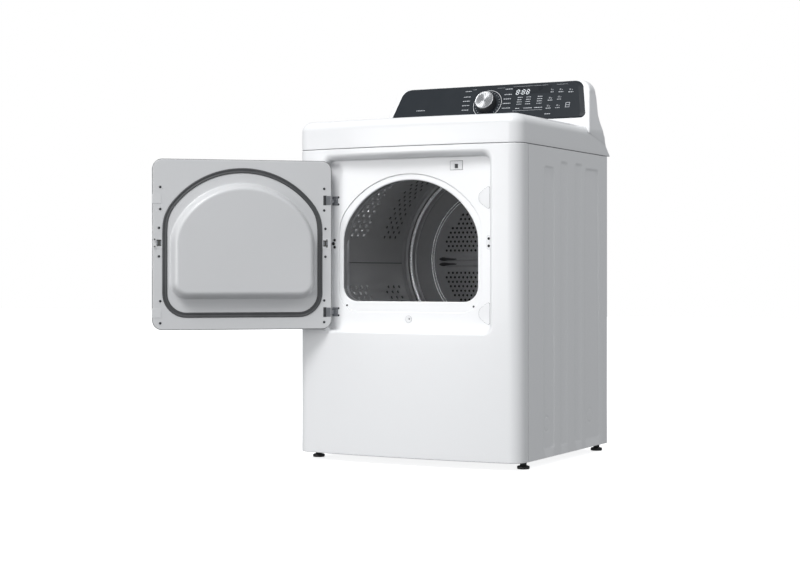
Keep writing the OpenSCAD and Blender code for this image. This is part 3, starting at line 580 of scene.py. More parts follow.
def corner_columns():
    """Plan of the right front corner, from the bowed face to the side seam: x, depth and normal."""
    out = [(X_FLAT, bow(X_FLAT), math.sin(math.radians(6)), -math.cos(math.radians(6)))]
    for a in range(15, 91, 5):
        s, c = sin_cos(a)
        out.append((BOW_HALF + CORNER_R * s, CORNER_R - CORNER_R * c, s, -c))
    return out


def face_columns(xs):
    out = []
    for x in xs:
        slope = 2 * BOW * x / BOW_HALF ** 2
        k = math.hypot(slope, 1)
        out.append((x, bow(x), slope / k, -1 / k))
    return out


def mirrored(columns):
    return [(-x, d, -nx, nd) for x, d, nx, nd in reversed(columns)]


def well_outline(t, r=None):
    """Outline of the door recess: t is 0 at its floor and 1 at the face."""
    x0, z0, x1, z1 = WELL
    return box_outline(x0 - FLARE_SIDE * t, z0 - FLARE_BOTTOM * t, x1 + FLARE_SIDE * t, z1 + FLARE_TOP * t,
                       WELL_R + 4 * t if r is None else r)


def well_inset(i):
    x0, z0, x1, z1 = WELL
    return box_outline(x0 + i, z0 + i, x1 - i, z1 - i, WELL_R - i)


FLANGE_END = 28.5


def make_opening_collar():
    """Coated collar of the front bulkhead, from behind the opening's edge towards the drum."""
    rows = arches(OPENING, ((2.4, 26.5), (0.9, 27.0), (0.7, 28.6), (0.7, 41.0), (1.6, 57.0), (4.0, 57.6)))
    piece("opening_collar", Shape().grid(rows, closed=True), DRUM, "cabinet",
          wall=0.5, facing=(0, -1, 0))


def make_front_panel():
    zb, zt = BASE_Z + EDGE_R, SEAM_Z - SEAM_GAP / 2 - EDGE_R
    outer = box_outline(-X_FLAT, zb, X_FLAT, zt, 0.0)
    lip = well_outline(1)
    shape = Shape()
    rows = [at_depth(rounded(outer, lip, t), bow)
            for t in (0, .05, .12, .2, .3, .4, .5, .6, .7, .8, .88, .94, 1)]
    roll_end = 10.0
    for a in range(6, 91, 6):
        s, c = sin_cos(a)
        ring = well_outline(1 - s)
        rows.append([(x, mix(bow(x), roll_end, 1 - c), z) for x, z in ring])
    fillet = 3.5
    rows.append(at_depth(well_outline(0), WELL_D - fillet))
    for a in (22.5, 45, 67.5, 90):
        s, c = sin_cos(a)
        rows.append(at_depth(well_inset(fillet * (1 - c)), WELL_D - fillet + fillet * s))
    rows += arches(RING, ((4.0, WELL_D), (1.4, 22.0), (0.5, 22.3), (0.1, 23.1), (-0.3, 24.4),
                          (-1.0, 25.0), (-4.0, 25.0)))
    lip_r = 3.2
    rows += arches(OPENING, [(lip_r + 2, RING_D)])
    for a in range(0, 91, 15):
        s, c = sin_cos(a)
        rows += arches(OPENING, [(lip_r * (1 - s), RING_D + lip_r * (1 - c))])
    rows += arches(OPENING, [(0.0, FLANGE_END)])
    shape.grid(rows, closed=True)

    right_z = sorted({round(z, 4) for x, z in outer if x > X_FLAT - 0.01})
    corner = corner_columns()
    seam = [(HALF_W, WRAP - 2.4, 1, 0), (HALF_W - 0.4, WRAP - 1.2, 1, 0), (HALF_W - 1.4, WRAP - 0.8, 1, 0)]
    side = corner + [(HALF_W, CORNER_R + 8, 1, 0)] + seam
    for columns in (side, mirrored(side)):
        shape.grid([[(x, d, z) for z in right_z] for x, d, _, _ in columns])
    top_x = sorted({round(x, 4) for x, z in outer if z > zt - 0.01})
    bottom_x = sorted({round(x, 4) for x, z in outer if z < zb + 0.01})
    for xs, z0, way in ((top_x, zt, 1), (bottom_x, zb, -1)):
        columns = mirrored(side) + face_columns(xs) + side
        rows = []
        for a in (0, 30, 60, 90):
            s, c = sin_cos(a)
            inset = EDGE_R * (1 - c)
            rows.append([(x - nx * inset, d - nd * inset, z0 + way * EDGE_R * s)
                         for x, d, nx, nd in columns])
        rows.append([(x - nx * HEM, d - nd * HEM, z0 + way * EDGE_R) for x, d, nx, nd in columns])
        shape.grid(rows)
    piece("front_skin", shape, WHITE, "cabinet", ["front_panel"],
          facing=(0, -1, 0), wall=0.9)


def deck_columns(inset, back):
    """Closed plan of the top, drawn in by inset all round except at its back."""
    r = CORNER_R - inset
    corner = []
    for a in range(7, 91, 7):
        s, c = sin_cos(a)
        corner.append((BOW_HALF + r * s, CORNER_R - r * c))
    corner += [(HALF_W - inset, d) for d in steps(CORNER_R, back, 12)]
    face = [(x, d - nd * inset) for x, d, _, nd in face_columns(steps(-BOW_HALF, BOW_HALF, 32))]
    left = [(-x, d) for x, d in reversed(corner)]
    rear = [(x, back) for x in steps(HALF_W - inset, inset - HALF_W, 24)[1:-1]]
    return left + face + corner + rear


def deck_back(z):
    profile = ((868, 652), (869, 652), (896, 620), (911, 612), (948, 604))
    for (z0, d0), (z1, d1) in zip(profile, profile[1:]):
        if z <= z1:
            return mix(d0, d1, (z - z0) / (z1 - z0)) if z > z0 else d0
    return profile[-1][1]


def make_deck():
    r = DECK_Z - SEAM_Z - 52.0
    levels = [(10, SEAM_Z + 0.6), (2.0, SEAM_Z + 0.6), (0.6, SEAM_Z + 1.1), (0, SEAM_Z + 2.4)]
    levels += [(0, z) for z in (SEAM_Z + 14, SEAM_Z + 28, SEAM_Z + 40)]
    for a in range(0, 91, 6):
        levels.append((r * (1 - math.cos(math.radians(a))), DECK_Z - r + r * math.sin(math.radians(a))))
    rows = [[(x, d, z) for x, d in deck_columns(inset, deck_back(z))] for inset, z in levels]
    inner = [(x * 0.9, mix(d, 300, 0.1), DECK_Z) for x, d, _ in rows[-1]]
    shape = Shape().grid(rows, closed=True)
    shape.grid([rows[-1], inner], closed=True).cap(inner)
    piece("deck", shape, WHITE, "cabinet", ["top_panel"], facing=(0, 0, 1), wall=1.2)


RIBS = ((156, 233, 814), (273, 321, 834), (378, 429, 834), (454, 559, 824))
RIB_BOTTOM = 40.0
LAST_RIB = RIBS[-1][0]
KNOCK_OUTS = (182.5, 497.6)
KNOCK_Z, KNOCK_R = 113.0, 20.0


def smooth_step(t):
    t = max(0.0, min(1.0, t))
    return t * t * (3 - 2 * t)


def rib_depth(d, z):
    """How far the side panel is pressed in at a place."""
    deepest = 0.0
    for d0, d1, z1 in RIBS:
        if d0 == LAST_RIB:
            d1 = mix(577, 559, (z - RIB_BOTTOM) / (z1 - RIB_BOTTOM))
        cd, cz, hd, hz, r = (d0 + d1) / 2, (RIB_BOTTOM + z1) / 2, (d1 - d0) / 2, (z1 - RIB_BOTTOM) / 2, 17.0
        qd, qz = max(abs(d - cd) - hd + r, 0), max(abs(z - cz) - hz + r, 0)
        outside = math.hypot(qd, qz) - r + min(max(abs(d - cd) - hd + r, abs(z - cz) - hz + r), 0)
        deepest = max(deepest, 2.4 * smooth_step((-outside + 1.0) / 7.0))
    for d0 in KNOCK_OUTS:
        away = abs(math.hypot(d - d0, z - KNOCK_Z) - KNOCK_R)
        deepest += 0.7 * smooth_step((2.8 - away) / 2.2)
    return deepest


def fine_steps(a, b, marks, coarse, fine, reach):
    """Places from a to b, close together near each mark."""
    out = [a]
    while out[-1] < b - fine:
        near = any(m[0] - reach <= out[-1] <= m[1] + reach for m in marks)
        out.append(min(out[-1] + (fine if near else coarse), b))
    if out[-1] < b:
        out.append(b)
    return out


def make_side_panel(side):
    d_marks = [(x, x) for r in RIBS for x in r[:2]]
    d_marks += [(x - KNOCK_R, x + KNOCK_R) for x in KNOCK_OUTS] + [(WRAP, WRAP)]
    z_marks = [(RIB_BOTTOM, RIB_BOTTOM), (93, 133), (814, 834)]
    ds = fine_steps(WRAP + 1.2, BACK - 1.0, d_marks, 14.0, 2.2, 9.0)
    zs = fine_steps(BASE_Z + 1.0, SEAM_Z - SEAM_GAP / 2 - 1.0, z_marks, 22.0, 2.2, 16.0)
    rows = [[(side * (HALF_W - rib_depth(d, z)), d, z) for d in ds] for z in zs]
    edge = lambda row, z: [(side * (HALF_W - 1.0), d, z) for _, d, _ in row]
    rows = [edge(rows[0], BASE_Z)] + rows + [edge(rows[-1], SEAM_Z - SEAM_GAP / 2)]
    rows = [[(side * (HALF_W - 1.2), row[0][1] - 1.0, row[0][2])] + row
            + [(side * (HALF_W - 1.0), row[-1][1] + 1.0, row[0][2])] for row in rows]
    name = "right_side" if side > 0 else "left_side"
    piece(name + "_skin", Shape().grid(rows), WHITE, "cabinet", [name + "_panel"],
          facing=(side, 0, 0), wall=1.0)


# ---------- console ----------

CONSOLE_TOP = high("console_housing")[2]
CONSOLE_CORNER = 40.0
CONSOLE_BACK = ((900, 613), (911, 611.5), (943, 600), (966, 588), (986, 583), (1040, 594))


def console_half(z):
    """Half width of the console at a height: slanting sides, then a round corner."""
    start = CONSOLE_TOP - CONSOLE_CORNER
    half = min(HALF_W, HALF_W - 0.186 * (min(z, start) - 937)) + 0.5
    rise = max(0.0, z - start) / CONSOLE_CORNER
    return half - CONSOLE_CORNER * (1 - math.sqrt(max(0.0, 1 - rise * rise))) * 0.97


def console_front(z):
    return FASCIA_D + (z - FASCIA_Z) * math.tan(LEAN)


def console_rear(z):
    front = console_front(CONSOLE_TOP)
    points = CONSOLE_BACK + ((CONSOLE_TOP - 14, front + 29), (CONSOLE_TOP, front + 27))
    for (z0, d0), (z1, d1) in zip(points, points[1:]):
        if z <= z1:
            return mix(d0, d1, (z - z0) / (z1 - z0))
    return points[-1][1]


def console_loop(z, inset):
    """Plan of the console at a height, with rounded corners."""
    half, d0, d1, r = console_half(z) - 0.35 * inset, console_front(z) + inset, console_rear(z) - inset, 5.0
    out = [(x, d0) for x in steps(-half + r, half - r, 24)]
    out += [(half - r + r * math.sin(a), d0 + r - r * math.cos(a)) for a in (0.4, 0.8, 1.2)]
    out += [(half, d) for d in steps(d0 + r, d1 - r, 12)]
    out += [(half - r + r * math.cos(a), d1 - r + r * math.sin(a)) for a in (0.4, 0.8, 1.2)]
    out += [(x, d1) for x in steps(half - r, -half + r, 24)]
    out += [(-half + r - r * math.sin(a), d1 - r + r * math.cos(a)) for a in (0.4, 0.8, 1.2)]
    out += [(-half, d) for d in steps(d1 - r, d0 + r, 12)]
    out += [(-half + r - r * math.cos(a), d0 + r - r * math.sin(a)) for a in (0.4, 0.8, 1.2)]
    hem = lambda d: mix(929, 903, min(1, max(0, (d - 480) / 130)))
    return [(x, d, max(z, hem(d))) for x, d in out]


def make_console():
    levels = [(z, 0.0) for z in steps(902, CONSOLE_TOP - CONSOLE_CORNER, 32)]
    edge = 5.0
    for a in range(6, 91, 4):
        z = CONSOLE_TOP - CONSOLE_CORNER * (1 - math.sin(math.radians(a)))
        t = max(0.0, (z - (CONSOLE_TOP - edge)) / edge)
        levels.append((z, edge * (1 - math.sqrt(1 - t * t))))
    rows = [console_loop(z, inset) for z, inset in levels]
    top = rows[-1]
    shape = Shape().grid(rows, closed=True).cap(top)
    piece("console_shell", shape, PLASTIC_WHITE, "cabinet", ["console_housing"],
          facing=(0, 0, 1), angle=30)


def fascia_outline(end, edge):
    """Outline of the dark fascia, drawn in by end at its ends and by edge above and below."""
    def corner(x, s, r, a0, a1):
        return [(x + r * math.cos(math.radians(a)), s + r * math.sin(math.radians(a)))
                for a in steps(a0, a1, 12)]
    low_r, high_r = max(14 - edge, 3), max(32 - edge, 6)
    low, top = 323 - end, 300 - end
    return (corner(low - low_r - 2, edge + low_r, low_r, -90, 8)
            + corner(top - high_r + 2, FASCIA_H - edge - high_r, high_r, 8, 90)
            + corner(high_r - top - 2, FASCIA_H - edge - high_r, high_r, 90, 172)
            + corner(low_r - low + 2, edge + low_r, low_r, 172, 270))


def make_fascia():
    place = on_fascia(0, 0, 0.0)
    rows = []
    for end, edge, h in ((0, 0, -1.0), (0, 0, 0.2), (0.5, 0.5, 0.7), (1.4, 1.2, 0.9),
                         (14, 1.8, FACE_H - 0.1), (15, 2.4, FACE_H)):
        rows.append([place(x, s, h) for x, s in fascia_outline(end, edge)])
    shape = Shape().grid(rows, closed=True).cap(rows[-1])
    piece("fascia", shape, FASCIA, "cabinet", ["control_fascia"],
          facing=(0, -1, 0.4), angle=4)
    glass = Shape().add(rounded_bar(122, 26, 0.3, 3.0, 0.15), on_fascia(139, 101, FACE_H - 0.05))
    piece("display_window", glass, LENS, "cabinet", ["display_window"])


FACE_H = 3.2
KNOB_S = 60


def bars(spots, name, material, lift=0.02):
    """Flat rounded marks on the fascia, each (x, s, length, width, turn)."""
    shape = Shape()
    for x, s, length, width, turn in spots:
        shape.add(rounded_bar(length, width, 0.12, None, 0.05, 3), on_fascia(x, s, FACE_H + lift, turn))
    piece(name, shape, material, "cabinet")


def seven_segments(x, s, w, h):
    """The seven bars of one lit digit, leaning a little."""
    lean = 8.0
    tilt = math.tan(math.radians(lean))
    out = [(x + dy * tilt, s + dy, w * 0.66, 1.5, 0) for dy in (-h / 2, 0, h / 2)]
    for dx in (-w / 2, w / 2):
        for dy in (-h / 4, h / 4):
            out.append((x + dx + dy * tilt, s + dy, h * 0.38, 1.5, 90 - lean))
    return out


def knob_ticks():
    out = []
    for i in range(21):
        a = 228 - 276 * i / 20
        r = 39.0
        out.append((r * math.cos(math.radians(a)), KNOB_S + r * math.sin(math.radians(a)),
                    4.2 if i % 5 == 0 else 2.6, 0.9, a))
    return out


def make_marks():
    rng = random.Random(7)
    def word(x0, x1, s, h=2.7):
        """A label drawn as a run of short generic bars."""
        out, x = [], x0
        while x < x1 - 2:
            length = min(rng.uniform(2.6, 6.5), x1 - x)
            out.append((x + length / 2, s, length, h * rng.uniform(0.75, 1.0), 0))
            x += length + 1.1
        return out
    spots = []
    for x0, x1, s in ((-58, -45, 112), (23, 49, 113), (77, 188, 115), (216, 251, 115)):
        spots.append(((x0 + x1) / 2, s, x1 - x0, 0.55, 0))
    for s, inset in ((107.3, 2), (88, 0), (73.3, 0), (58, 0), (42.3, 2)):
        spots += word(-84 + inset, -60, s)
    for s, extra in ((108, 2), (89.2, 0), (74, 0), (58.7, 1), (42.5, 4)):
        spots += word(51, 75 + extra, s)
    spots += word(141, 187, 90, 2.2)
    spots.append((163, 103, 50, 0.6, 0))
    for x in (105.5, 133.5, 170):
        for s in (77, 69, 61.5, 53.5):
            spots += word(x - 9, x + 7, s, 2.4)
    for x, w in ((102, 14), (135.4, 27), (169.5, 27)):
        spots += word(x - w / 2, x + w / 2, 39.3, 2.4)
    spots.append((135, 31.5, 96, 0.6, 0))
    spots += word(193, 212, 16, 2.6)
    for x, s in ((203, 95), (233, 94), (264.5, 92), (203.5, 67), (232.5, 69), (202, 40), (232, 40)):
        spots += word(x - 8, x + 8, s - 5, 2.4)
        spots += [(x - 3, s + 2, 5.5, 1.0, 0), (x + 3.4, s + 2, 4.2, 1.0, 90), (x - 3, s + 5, 5.5, 1.0, 0)]
    spots += word(-238, -206, 48, 2.6)
    bars(spots + knob_ticks(), "printed_marks", PRINT_GLOW)
    digits = [bar for x in (93.5, 112, 126.5) for bar in seven_segments(x, 95, 8, 15.5)]
    digits += [(102.3, 91.5, 1.5, 1.4, 0), (103.3, 98.5, 1.5, 1.4, 0)]
    bars(digits, "lit_digits", LIT, 0.27)
    symbol = Shape()
    for s in (36, 43.5, 51):
        frame_bar = rounded_bar(13, 1.2, 0.12, None, 0.05, 3)
        symbol.add(frame_bar, on_fascia(261.5, s, FACE_H + 0.02))
    for x in (255.5, 267.5):
        symbol.add(rounded_bar(15, 1.2, 0.12, None, 0.05, 3), on_fascia(x, 43.5, FACE_H + 0.02, 90))
    piece("panel_symbol", symbol, PRINT_GLOW, "cabinet")


KNOB_H = 29.0


def make_knob():
    r = 30.0
    grip = Shape()
    rows = []
    for radius, h in ((r - 2, 2.9), (r, 4.0), (r, 10), (r, 18), (r, KNOB_H - 3.5),
                      (r - 0.6, KNOB_H - 2.6), (r - 1.4, KNOB_H - 2.1)):
        ring = []
        for i in range(192):
            flute = 0.0 if h < 3 or h > KNOB_H - 2.3 else 0.45 * (1 if i % 4 < 2 else -1)
            a = 2 * math.pi * i / 192
            ring.append(((radius + flute - 0.45) * math.cos(a), (radius + flute - 0.45) * math.sin(a), h))
        rows.append(ring)
    grip.grid(rows, closed=True).cap(rows[0]).cap(rows[-1])
    body = Shape().add(grip, on_fascia(0, KNOB_S, 0.6))
    body.add(lathe([(3, -22), (3, 2)], 32, True, True), on_fascia(0, KNOB_S, 0.0))
    piece("knob_grip", body, PLASTIC_DARK, "knob", ["knob_body"], angle=30)
    profile = ((28.4, -2.4), (29.2, -2.0), (29.4, -1.0), (29.0, -0.3), (28.2, 0.0), (27.6, -0.1),
               (26.8, -0.6), (20, -0.65), (10, -0.7), (0.2, -0.7))
    cap = lathe([(radius, KNOB_H + h) for radius, h in profile], 128, True)
    mesh_shape = Shape().add(cap, on_fascia(0, KNOB_S, 0.6))
    face = piece("knob_face", mesh_shape, KNOB_FACE, "knob", ["knob_cap"], angle=50)
    centre_on_knob(face)
    pointer = Shape().add(rounded_bar(9, 1.4, 0.3, None, 0.1), on_fascia(0, 79, KNOB_H, 90))
    piece("knob_pointer", pointer, PLASTIC_DARK, "knob")
    ring = lathe([(44.9, -0.2), (44.9, 0.8), (45.3, 1.2), (46.1, 1.2), (46.5, 0.8), (46.5, -0.2)], 128)
    bright = Shape().add(ring, on_fascia(0, KNOB_S, FACE_H - 0.9))
    piece("knob_ring", bright, CHROME, "cabinet",
          ["knob_ring"])


def centre_on_knob(obj):
    """Moves an object's own origin and Z onto the knob's axis, leaving it in place."""
    place = on_fascia(0, KNOB_S, 0.0)
    origin, up, out = (Vector(place(*v)) for v in ((0, 0, 0), (0, 1, 0), (0, 0, 1)))
    shift = Vector((0, FRONT, 0))
    y, z = (up - origin).normalized(), (out - origin).normalized()
    x = y.cross(z)
    frame_at = Matrix((x, y, z)).transposed().to_4x4()
    frame_at.translation = (origin + shift) * MM
    obj.data.transform(frame_at.inverted())
    obj.matrix_world = frame_at


# ---------- drum ----------

WALL_R = 300.8
BUMPS = ((116, 168), (194, 220))
# The far group ends before the track that the rollers run on
NEAR_BUMPS, FAR_BUMPS = (206, 308), (406, 510)
BUMP_PITCH, BUMP_ROW = 17.0, 30.0
PIT_PROFILE = [(5.0, 0.0), (4.4, 0.3), (0.1, 0.4)]
DOME_PROFILE = [(6.8, -0.3), (6.2, 0.9), (5.0, 2.4), (3.4, 3.6), (1.7, 4.3), (0.1, 4.5)]


def bump_places():
    """Angle and depth of every pressed bump, with its sign: 1 stands in, -1 is dished out."""
    out = []
    for sector in range(3):
        for a0, a1 in BUMPS:
            rows = int(math.radians(a1 - a0) * WALL_R / BUMP_ROW)
            for (d0, d1), sign in ((NEAR_BUMPS, 1), (FAR_BUMPS, -1)):
                for c in range(int((d1 - d0) / BUMP_PITCH) + 1):
                    for r in range(rows):
                        a = a0 + (a1 - a0) * (r + 0.3 + 0.5 * (c % 2)) / rows
                        out.append((a + 120 * sector, d0 + c * BUMP_PITCH, sign))
    return out


def make_drum():
    places = bump_places()
    by_column = {}
    for a, d, sign in places:
        by_column.setdefault(d, []).append((a, sign))
    angles = steps(0, 360, 720)[:-1]
    depths = fine_steps(66.0, 545.0, [NEAR_BUMPS, FAR_BUMPS], 20.0, 2.6, 8.0)
    shape = Shape()
    rows = []
    for d in depths:
        dent = {}
        for dc, column in by_column.items():
            if abs(dc - d) > 8:
                continue
            for a, sign in column:
                middle = int(round(a / 0.5))
                for k in range(-4, 5):
                    away = math.hypot((d - dc) / 7.5, k * 0.5 * math.radians(1) * WALL_R / 5.6)
                    if away < 1:
                        dent[(middle + k) % 720] = sign * 4.2 * smooth_step((1 - away) * 1.5)
        rows.append([polar(WALL_R - dent.get(i, 0.0), a, d) for i, a in enumerate(angles)])
    shape.grid(rows, closed=True)
    neck = [(WALL_R, 545), (300.0, 549), (298.4, 552), (297.2, 556), (297.2, 562), (296, 565),
            (292.6, 567.4), (290.4, 570), (290.2, 576), (290.2, 584)]
    shape.grid([[polar(r, a, d) for a in angles] for r, d in neck], closed=True)
    piece("drum_shell", shape, DRUM, "drum", ["drum"], wall=0.5, angle=35)
    pits, domes = Shape(), Shape()
    for a, d, sign in places:
        if sign < 0:
            pits.add(lathe(PIT_PROFILE, 14), on_drum(a, d, WALL_R + 0.4))
        else:
            domes.add(lathe(DOME_PROFILE, 16), on_drum(a, d, WALL_R))
    # The pits are covered by flat dark discs: painted shade in the hollows.
    piece("drum_pit_shade", pits, DRUM_DARK, "drum")
    # The domes are painted lighter than the drum wall: a painted highlight.
    piece("drum_domes", domes, DRUM_HIGHLIGHT, "drum", angle=60)
    seam = Shape()
    for sector in range(3):
        rib = [[polar(WALL_R - h, 182 + 120 * sector + da, d) for da, h in
                ((-0.30, -0.1), (-0.22, 0.5), (-0.08, 0.7), (0.08, 0.7), (0.22, 0.5), (0.30, -0.1))]
               for d in steps(68, 546, 20)]
        seam.grid(rib)
    piece("drum_seam", seam, DRUM_DARK, "drum", wall=0.2, facing=(0, 0, 1))


def polar(r, a, d):
    return (r * math.cos(math.radians(a)), d, DRUM_Z + r * math.sin(math.radians(a)))


def on_drum(a, d, r):
    """On the drum's wall: local z points to its axis."""
    s, c = sin_cos(a)
    return lambda x, y, z: ((r - z) * c - x * s, d + y, DRUM_Z + (r - z) * s + x * c)


def make_baffles():
    half = [(36, -1.5), (33, 3), (30, 10), (25, 22), (20, 33), (16, 40), (12, 44.5), (6, 46.5), (0, 47)]
    profile = half + [(-x, h) for x, h in reversed(half[:-1])]
    shape = Shape()
    for sector in range(3):
        a0 = 108 + 120 * sector
        rows = []
        for d, k in ((100, 0.0), (100.5, 0.5), (104, 0.86), (112, 0.98), (122, 1.0), (300, 1.0), (508, 1.0),
                     (520, 0.98), (528, 0.86), (530.5, 0.5), (531, 0.0)):
            place = on_drum(a0, d, WALL_R - 0.6)
            rows.append([place(x * (0.93 + 0.07 * k), 0, max(h * k, -1.5)) for x, h in profile])
        shape.grid(rows)
    piece("baffles", shape, PLASTIC_GREY, "drum",
          ["drum_baffles"], facing=(0, 0, 1), angle=40)


def make_drum_back():
    tube = lathe([(289.0, 590.0), (289.0, 577.5), (288.2, 576.2), (287.0, 575.8), (279.4, 575.8),
                  (278.2, 577.0), (277.6, 586.0), (276.4, 589.5), (273.6, 590.4)], 240)
    piece("rear_collar", Shape().add(tube, along_y(0, DRUM_Z)), DRUM, "cabinet", wall=0.6,
          facing=(0, -1, 0))
    # The rear bead is painted light: a painted highlight on its curve.
    bead = lathe([(288.4, 576.0), (287.6, 573.4), (286.0, 571.8), (283.6, 571.0), (281.2, 571.6),
                  (279.8, 573.2), (279.2, 576.0)], 240)
    piece("rear_bead", Shape().add(bead, along_y(0, DRUM_Z)), DRUM_RING_HIGHLIGHT, "cabinet")
    plate = lathe([(273.5, 593.2), (268, 593.6), (245, 593.7), (224, 593.5), (220.5, 592.6), (219.6, 590.6),
                   (218.4, 590.0), (217, 590.4), (216.2, 592.2), (214.6, 592.8), (212.8, 592.2),
                   (212.0, 590.4), (210.8, 590.0), (209.4, 590.6), (208.6, 592.6), (204, 592.9)], 240)
    piece("rear_annulus", Shape().add(plate, along_y(0, DRUM_Z)), DRUM, "cabinet", wall=0.8,
          facing=(0, -1, 0))
    # The two rims on the annulus are painted light too: painted highlights.
    rim = lathe([(219.9, 591.2), (219.4, 589.8), (218.4, 589.3), (217.4, 589.7), (216.9, 591.0)], 240)
    rim.add(lathe([(212.2, 591.0), (211.6, 589.7), (210.8, 589.3), (210.0, 589.8), (209.4, 591.2)], 240))
    piece("rear_beads", Shape().add(rim, along_y(0, DRUM_Z)), DRUM_RING_HIGHLIGHT, "cabinet")
    make_grille()


RIDGE = ((-7.0, 591.6), (-6, 590.4), (-4.2, 588.2), (-2, 587.2), (0, 587.0), (2, 587.2), (4.2, 588.2),
         (6, 590.4), (7.0, 591.6))


def make_grille():
    disc = lathe([(205.5, 592.6), (205, 591.8), (190, 591.2), (0.05, 591.2), (0.05, 593.6), (205, 593.6),
                  (205.5, 592.6)], 200)
    disc_obj = piece("grille_disc", Shape().add(disc, along_y(0, DRUM_Z)), DRUM, "cabinet",
                     ["rear_grille"], angle=30)
    cutter = Shape()
    pitch, rim, low_z = 14.0, 178.0, DRUM_Z - 6
    n = int(rim / pitch) + 1
    for i in range(-n, n + 1):
        for j in range(-n, n + 1):
            x, z = (i + 0.5 * (j % 2)) * pitch, low_z + (j + 0.5) * pitch * 0.98
            if math.hypot(x, z - DRUM_Z) < rim and abs(z - low_z) > 32:
                cutter.add(lathe([(4.2, 585), (3.9, 600)], 14, True, True), along_y(x, z))
    cut_through(disc_obj, cutter)
    ridges, lobes = Shape(), Shape()
    for dz in (-8.5, 8.5):
        rows, dark = [], []
        for x, k in ((-192, 0.05), (-186, 0.45), (-176, 0.8), (-160, 1), (0, 1), (160, 1), (176, 0.8),
                     (186, 0.45), (192, 0.05)):
            rows.append([(x, mix(591.6, d, k), low_z + dz * (0.75 + 0.25 * k) + h * (0.4 + 0.6 * k))
                         for h, d in RIDGE])
        # Dark tapered lobes along each ridge: painted shade beside the ridges.
        for x, k in ((-194, 0.05), (-190, 0.6), (-182, 1.0), (-160, 1.0), (-135, 0.9), (-110, 0.75),
                     (-60, 0.4), (0, 0.2), (60, 0.4), (110, 0.75), (135, 0.9), (160, 1.0), (182, 1.0),
                     (190, 0.6), (194, 0.05)):
            dark.append([(x, mix(591.4, d - 0.6, k), low_z + dz * 0.95 + 0.8 * h * k) for h, d in RIDGE])
        ridges.grid(rows)
        lobes.grid(dark)
    piece("grille_ridges", ridges, DRUM, "cabinet", facing=(0, -1, 0))
    piece("grille_ridge_shade", lobes, DRUM_DARK, "cabinet", facing=(0, -1, 0))


def cut_through(obj, cutter):
    """Cuts a set of closed shapes out of an object, for good."""
    mesh = bpy.data.meshes.new("cutter")
    mesh.from_pydata([(x * MM, (d + FRONT) * MM, z * MM) for x, d, z in cutter.verts], [], cutter.faces)
    bm = bmesh.new()
    bm.from_mesh(mesh)
    bmesh.ops.remove_doubles(bm, verts=bm.verts, dist=0.00001)
    bmesh.ops.recalc_face_normals(bm, faces=bm.faces)
    bm.to_mesh(mesh)
    bm.free()
    tool = bpy.data.objects.new("cutter", mesh)
    bpy.context.scene.collection.objects.link(tool)
    cut = obj.modifiers.new("Cut", "BOOLEAN")
    cut.object = tool
    cut.operation = "DIFFERENCE"
    cut.solver = "EXACT"
    obj.modifiers.move(len(obj.modifiers) - 1, 0)
    bpy.context.view_layer.update()
    graph = bpy.context.evaluated_depsgraph_get()
    done = bpy.data.meshes.new_from_object(obj.evaluated_get(graph))
    obj.modifiers.clear()
    old = obj.data
    obj.data = done
    bpy.data.meshes.remove(old)
    bpy.data.objects.remove(tool)
    bpy.data.meshes.remove(mesh)
    obj.data.set_sharp_from_angle(angle=math.radians(30))


# ---------- door ----------

def door_outline(inset):
    x0, z0, x1, z1 = DOOR
    return box_outline(x0 + inset, z0 + inset, x1 - inset, z1 - inset, max(DOOR_R - inset, 4))


GRIP_LOW, GRIP_HIGH = 540.0, 670.0


def grip_dent(x, d, z):
    """How far the finger hold under the door's free edge is sunk in at a place."""
    if x < DOOR[2] - 2:
        return 0.0
    along = min(z - GRIP_LOW, GRIP_HIGH - z) / 12.0
    across = min(d - 3.5, 18.5 - d) / 3.0
    return 11.0 * smooth_step(along) * smooth_step(across)


def make_door_shell():
    r = 7.0
    rows = []
    small = box_outline(-30, 571, 30, 631, 8)
    for t in (0.0, 0.15, 0.3, 0.45, 0.6, 0.72, 0.82, 0.9, 0.95):
        rows.append(at_depth(rounded(small, door_outline(r), t), bow))
    for a in range(0, 91, 9):
        s, c = sin_cos(a)
        rows.append([(x, bow(x) + r * (1 - c), z) for x, z in door_outline(r * (1 - s))])
    last = rows[-1]
    for t in steps(0, 1, 12)[1:]:
        rows.append([(x - grip_dent(x, mix(d, 18.4, t), z), mix(d, 18.4, t), z) for x, d, z in last])
    rows.append(at_depth(door_outline(0.8), 18.9))
    rows.append(at_depth(door_outline(6), 18.9))
    shape = Shape().cap(rows[0]).grid(rows, closed=True).cap(rows[-1])
    piece("door_shell", shape, WHITE, "door", ["door_outer_panel"], angle=40)


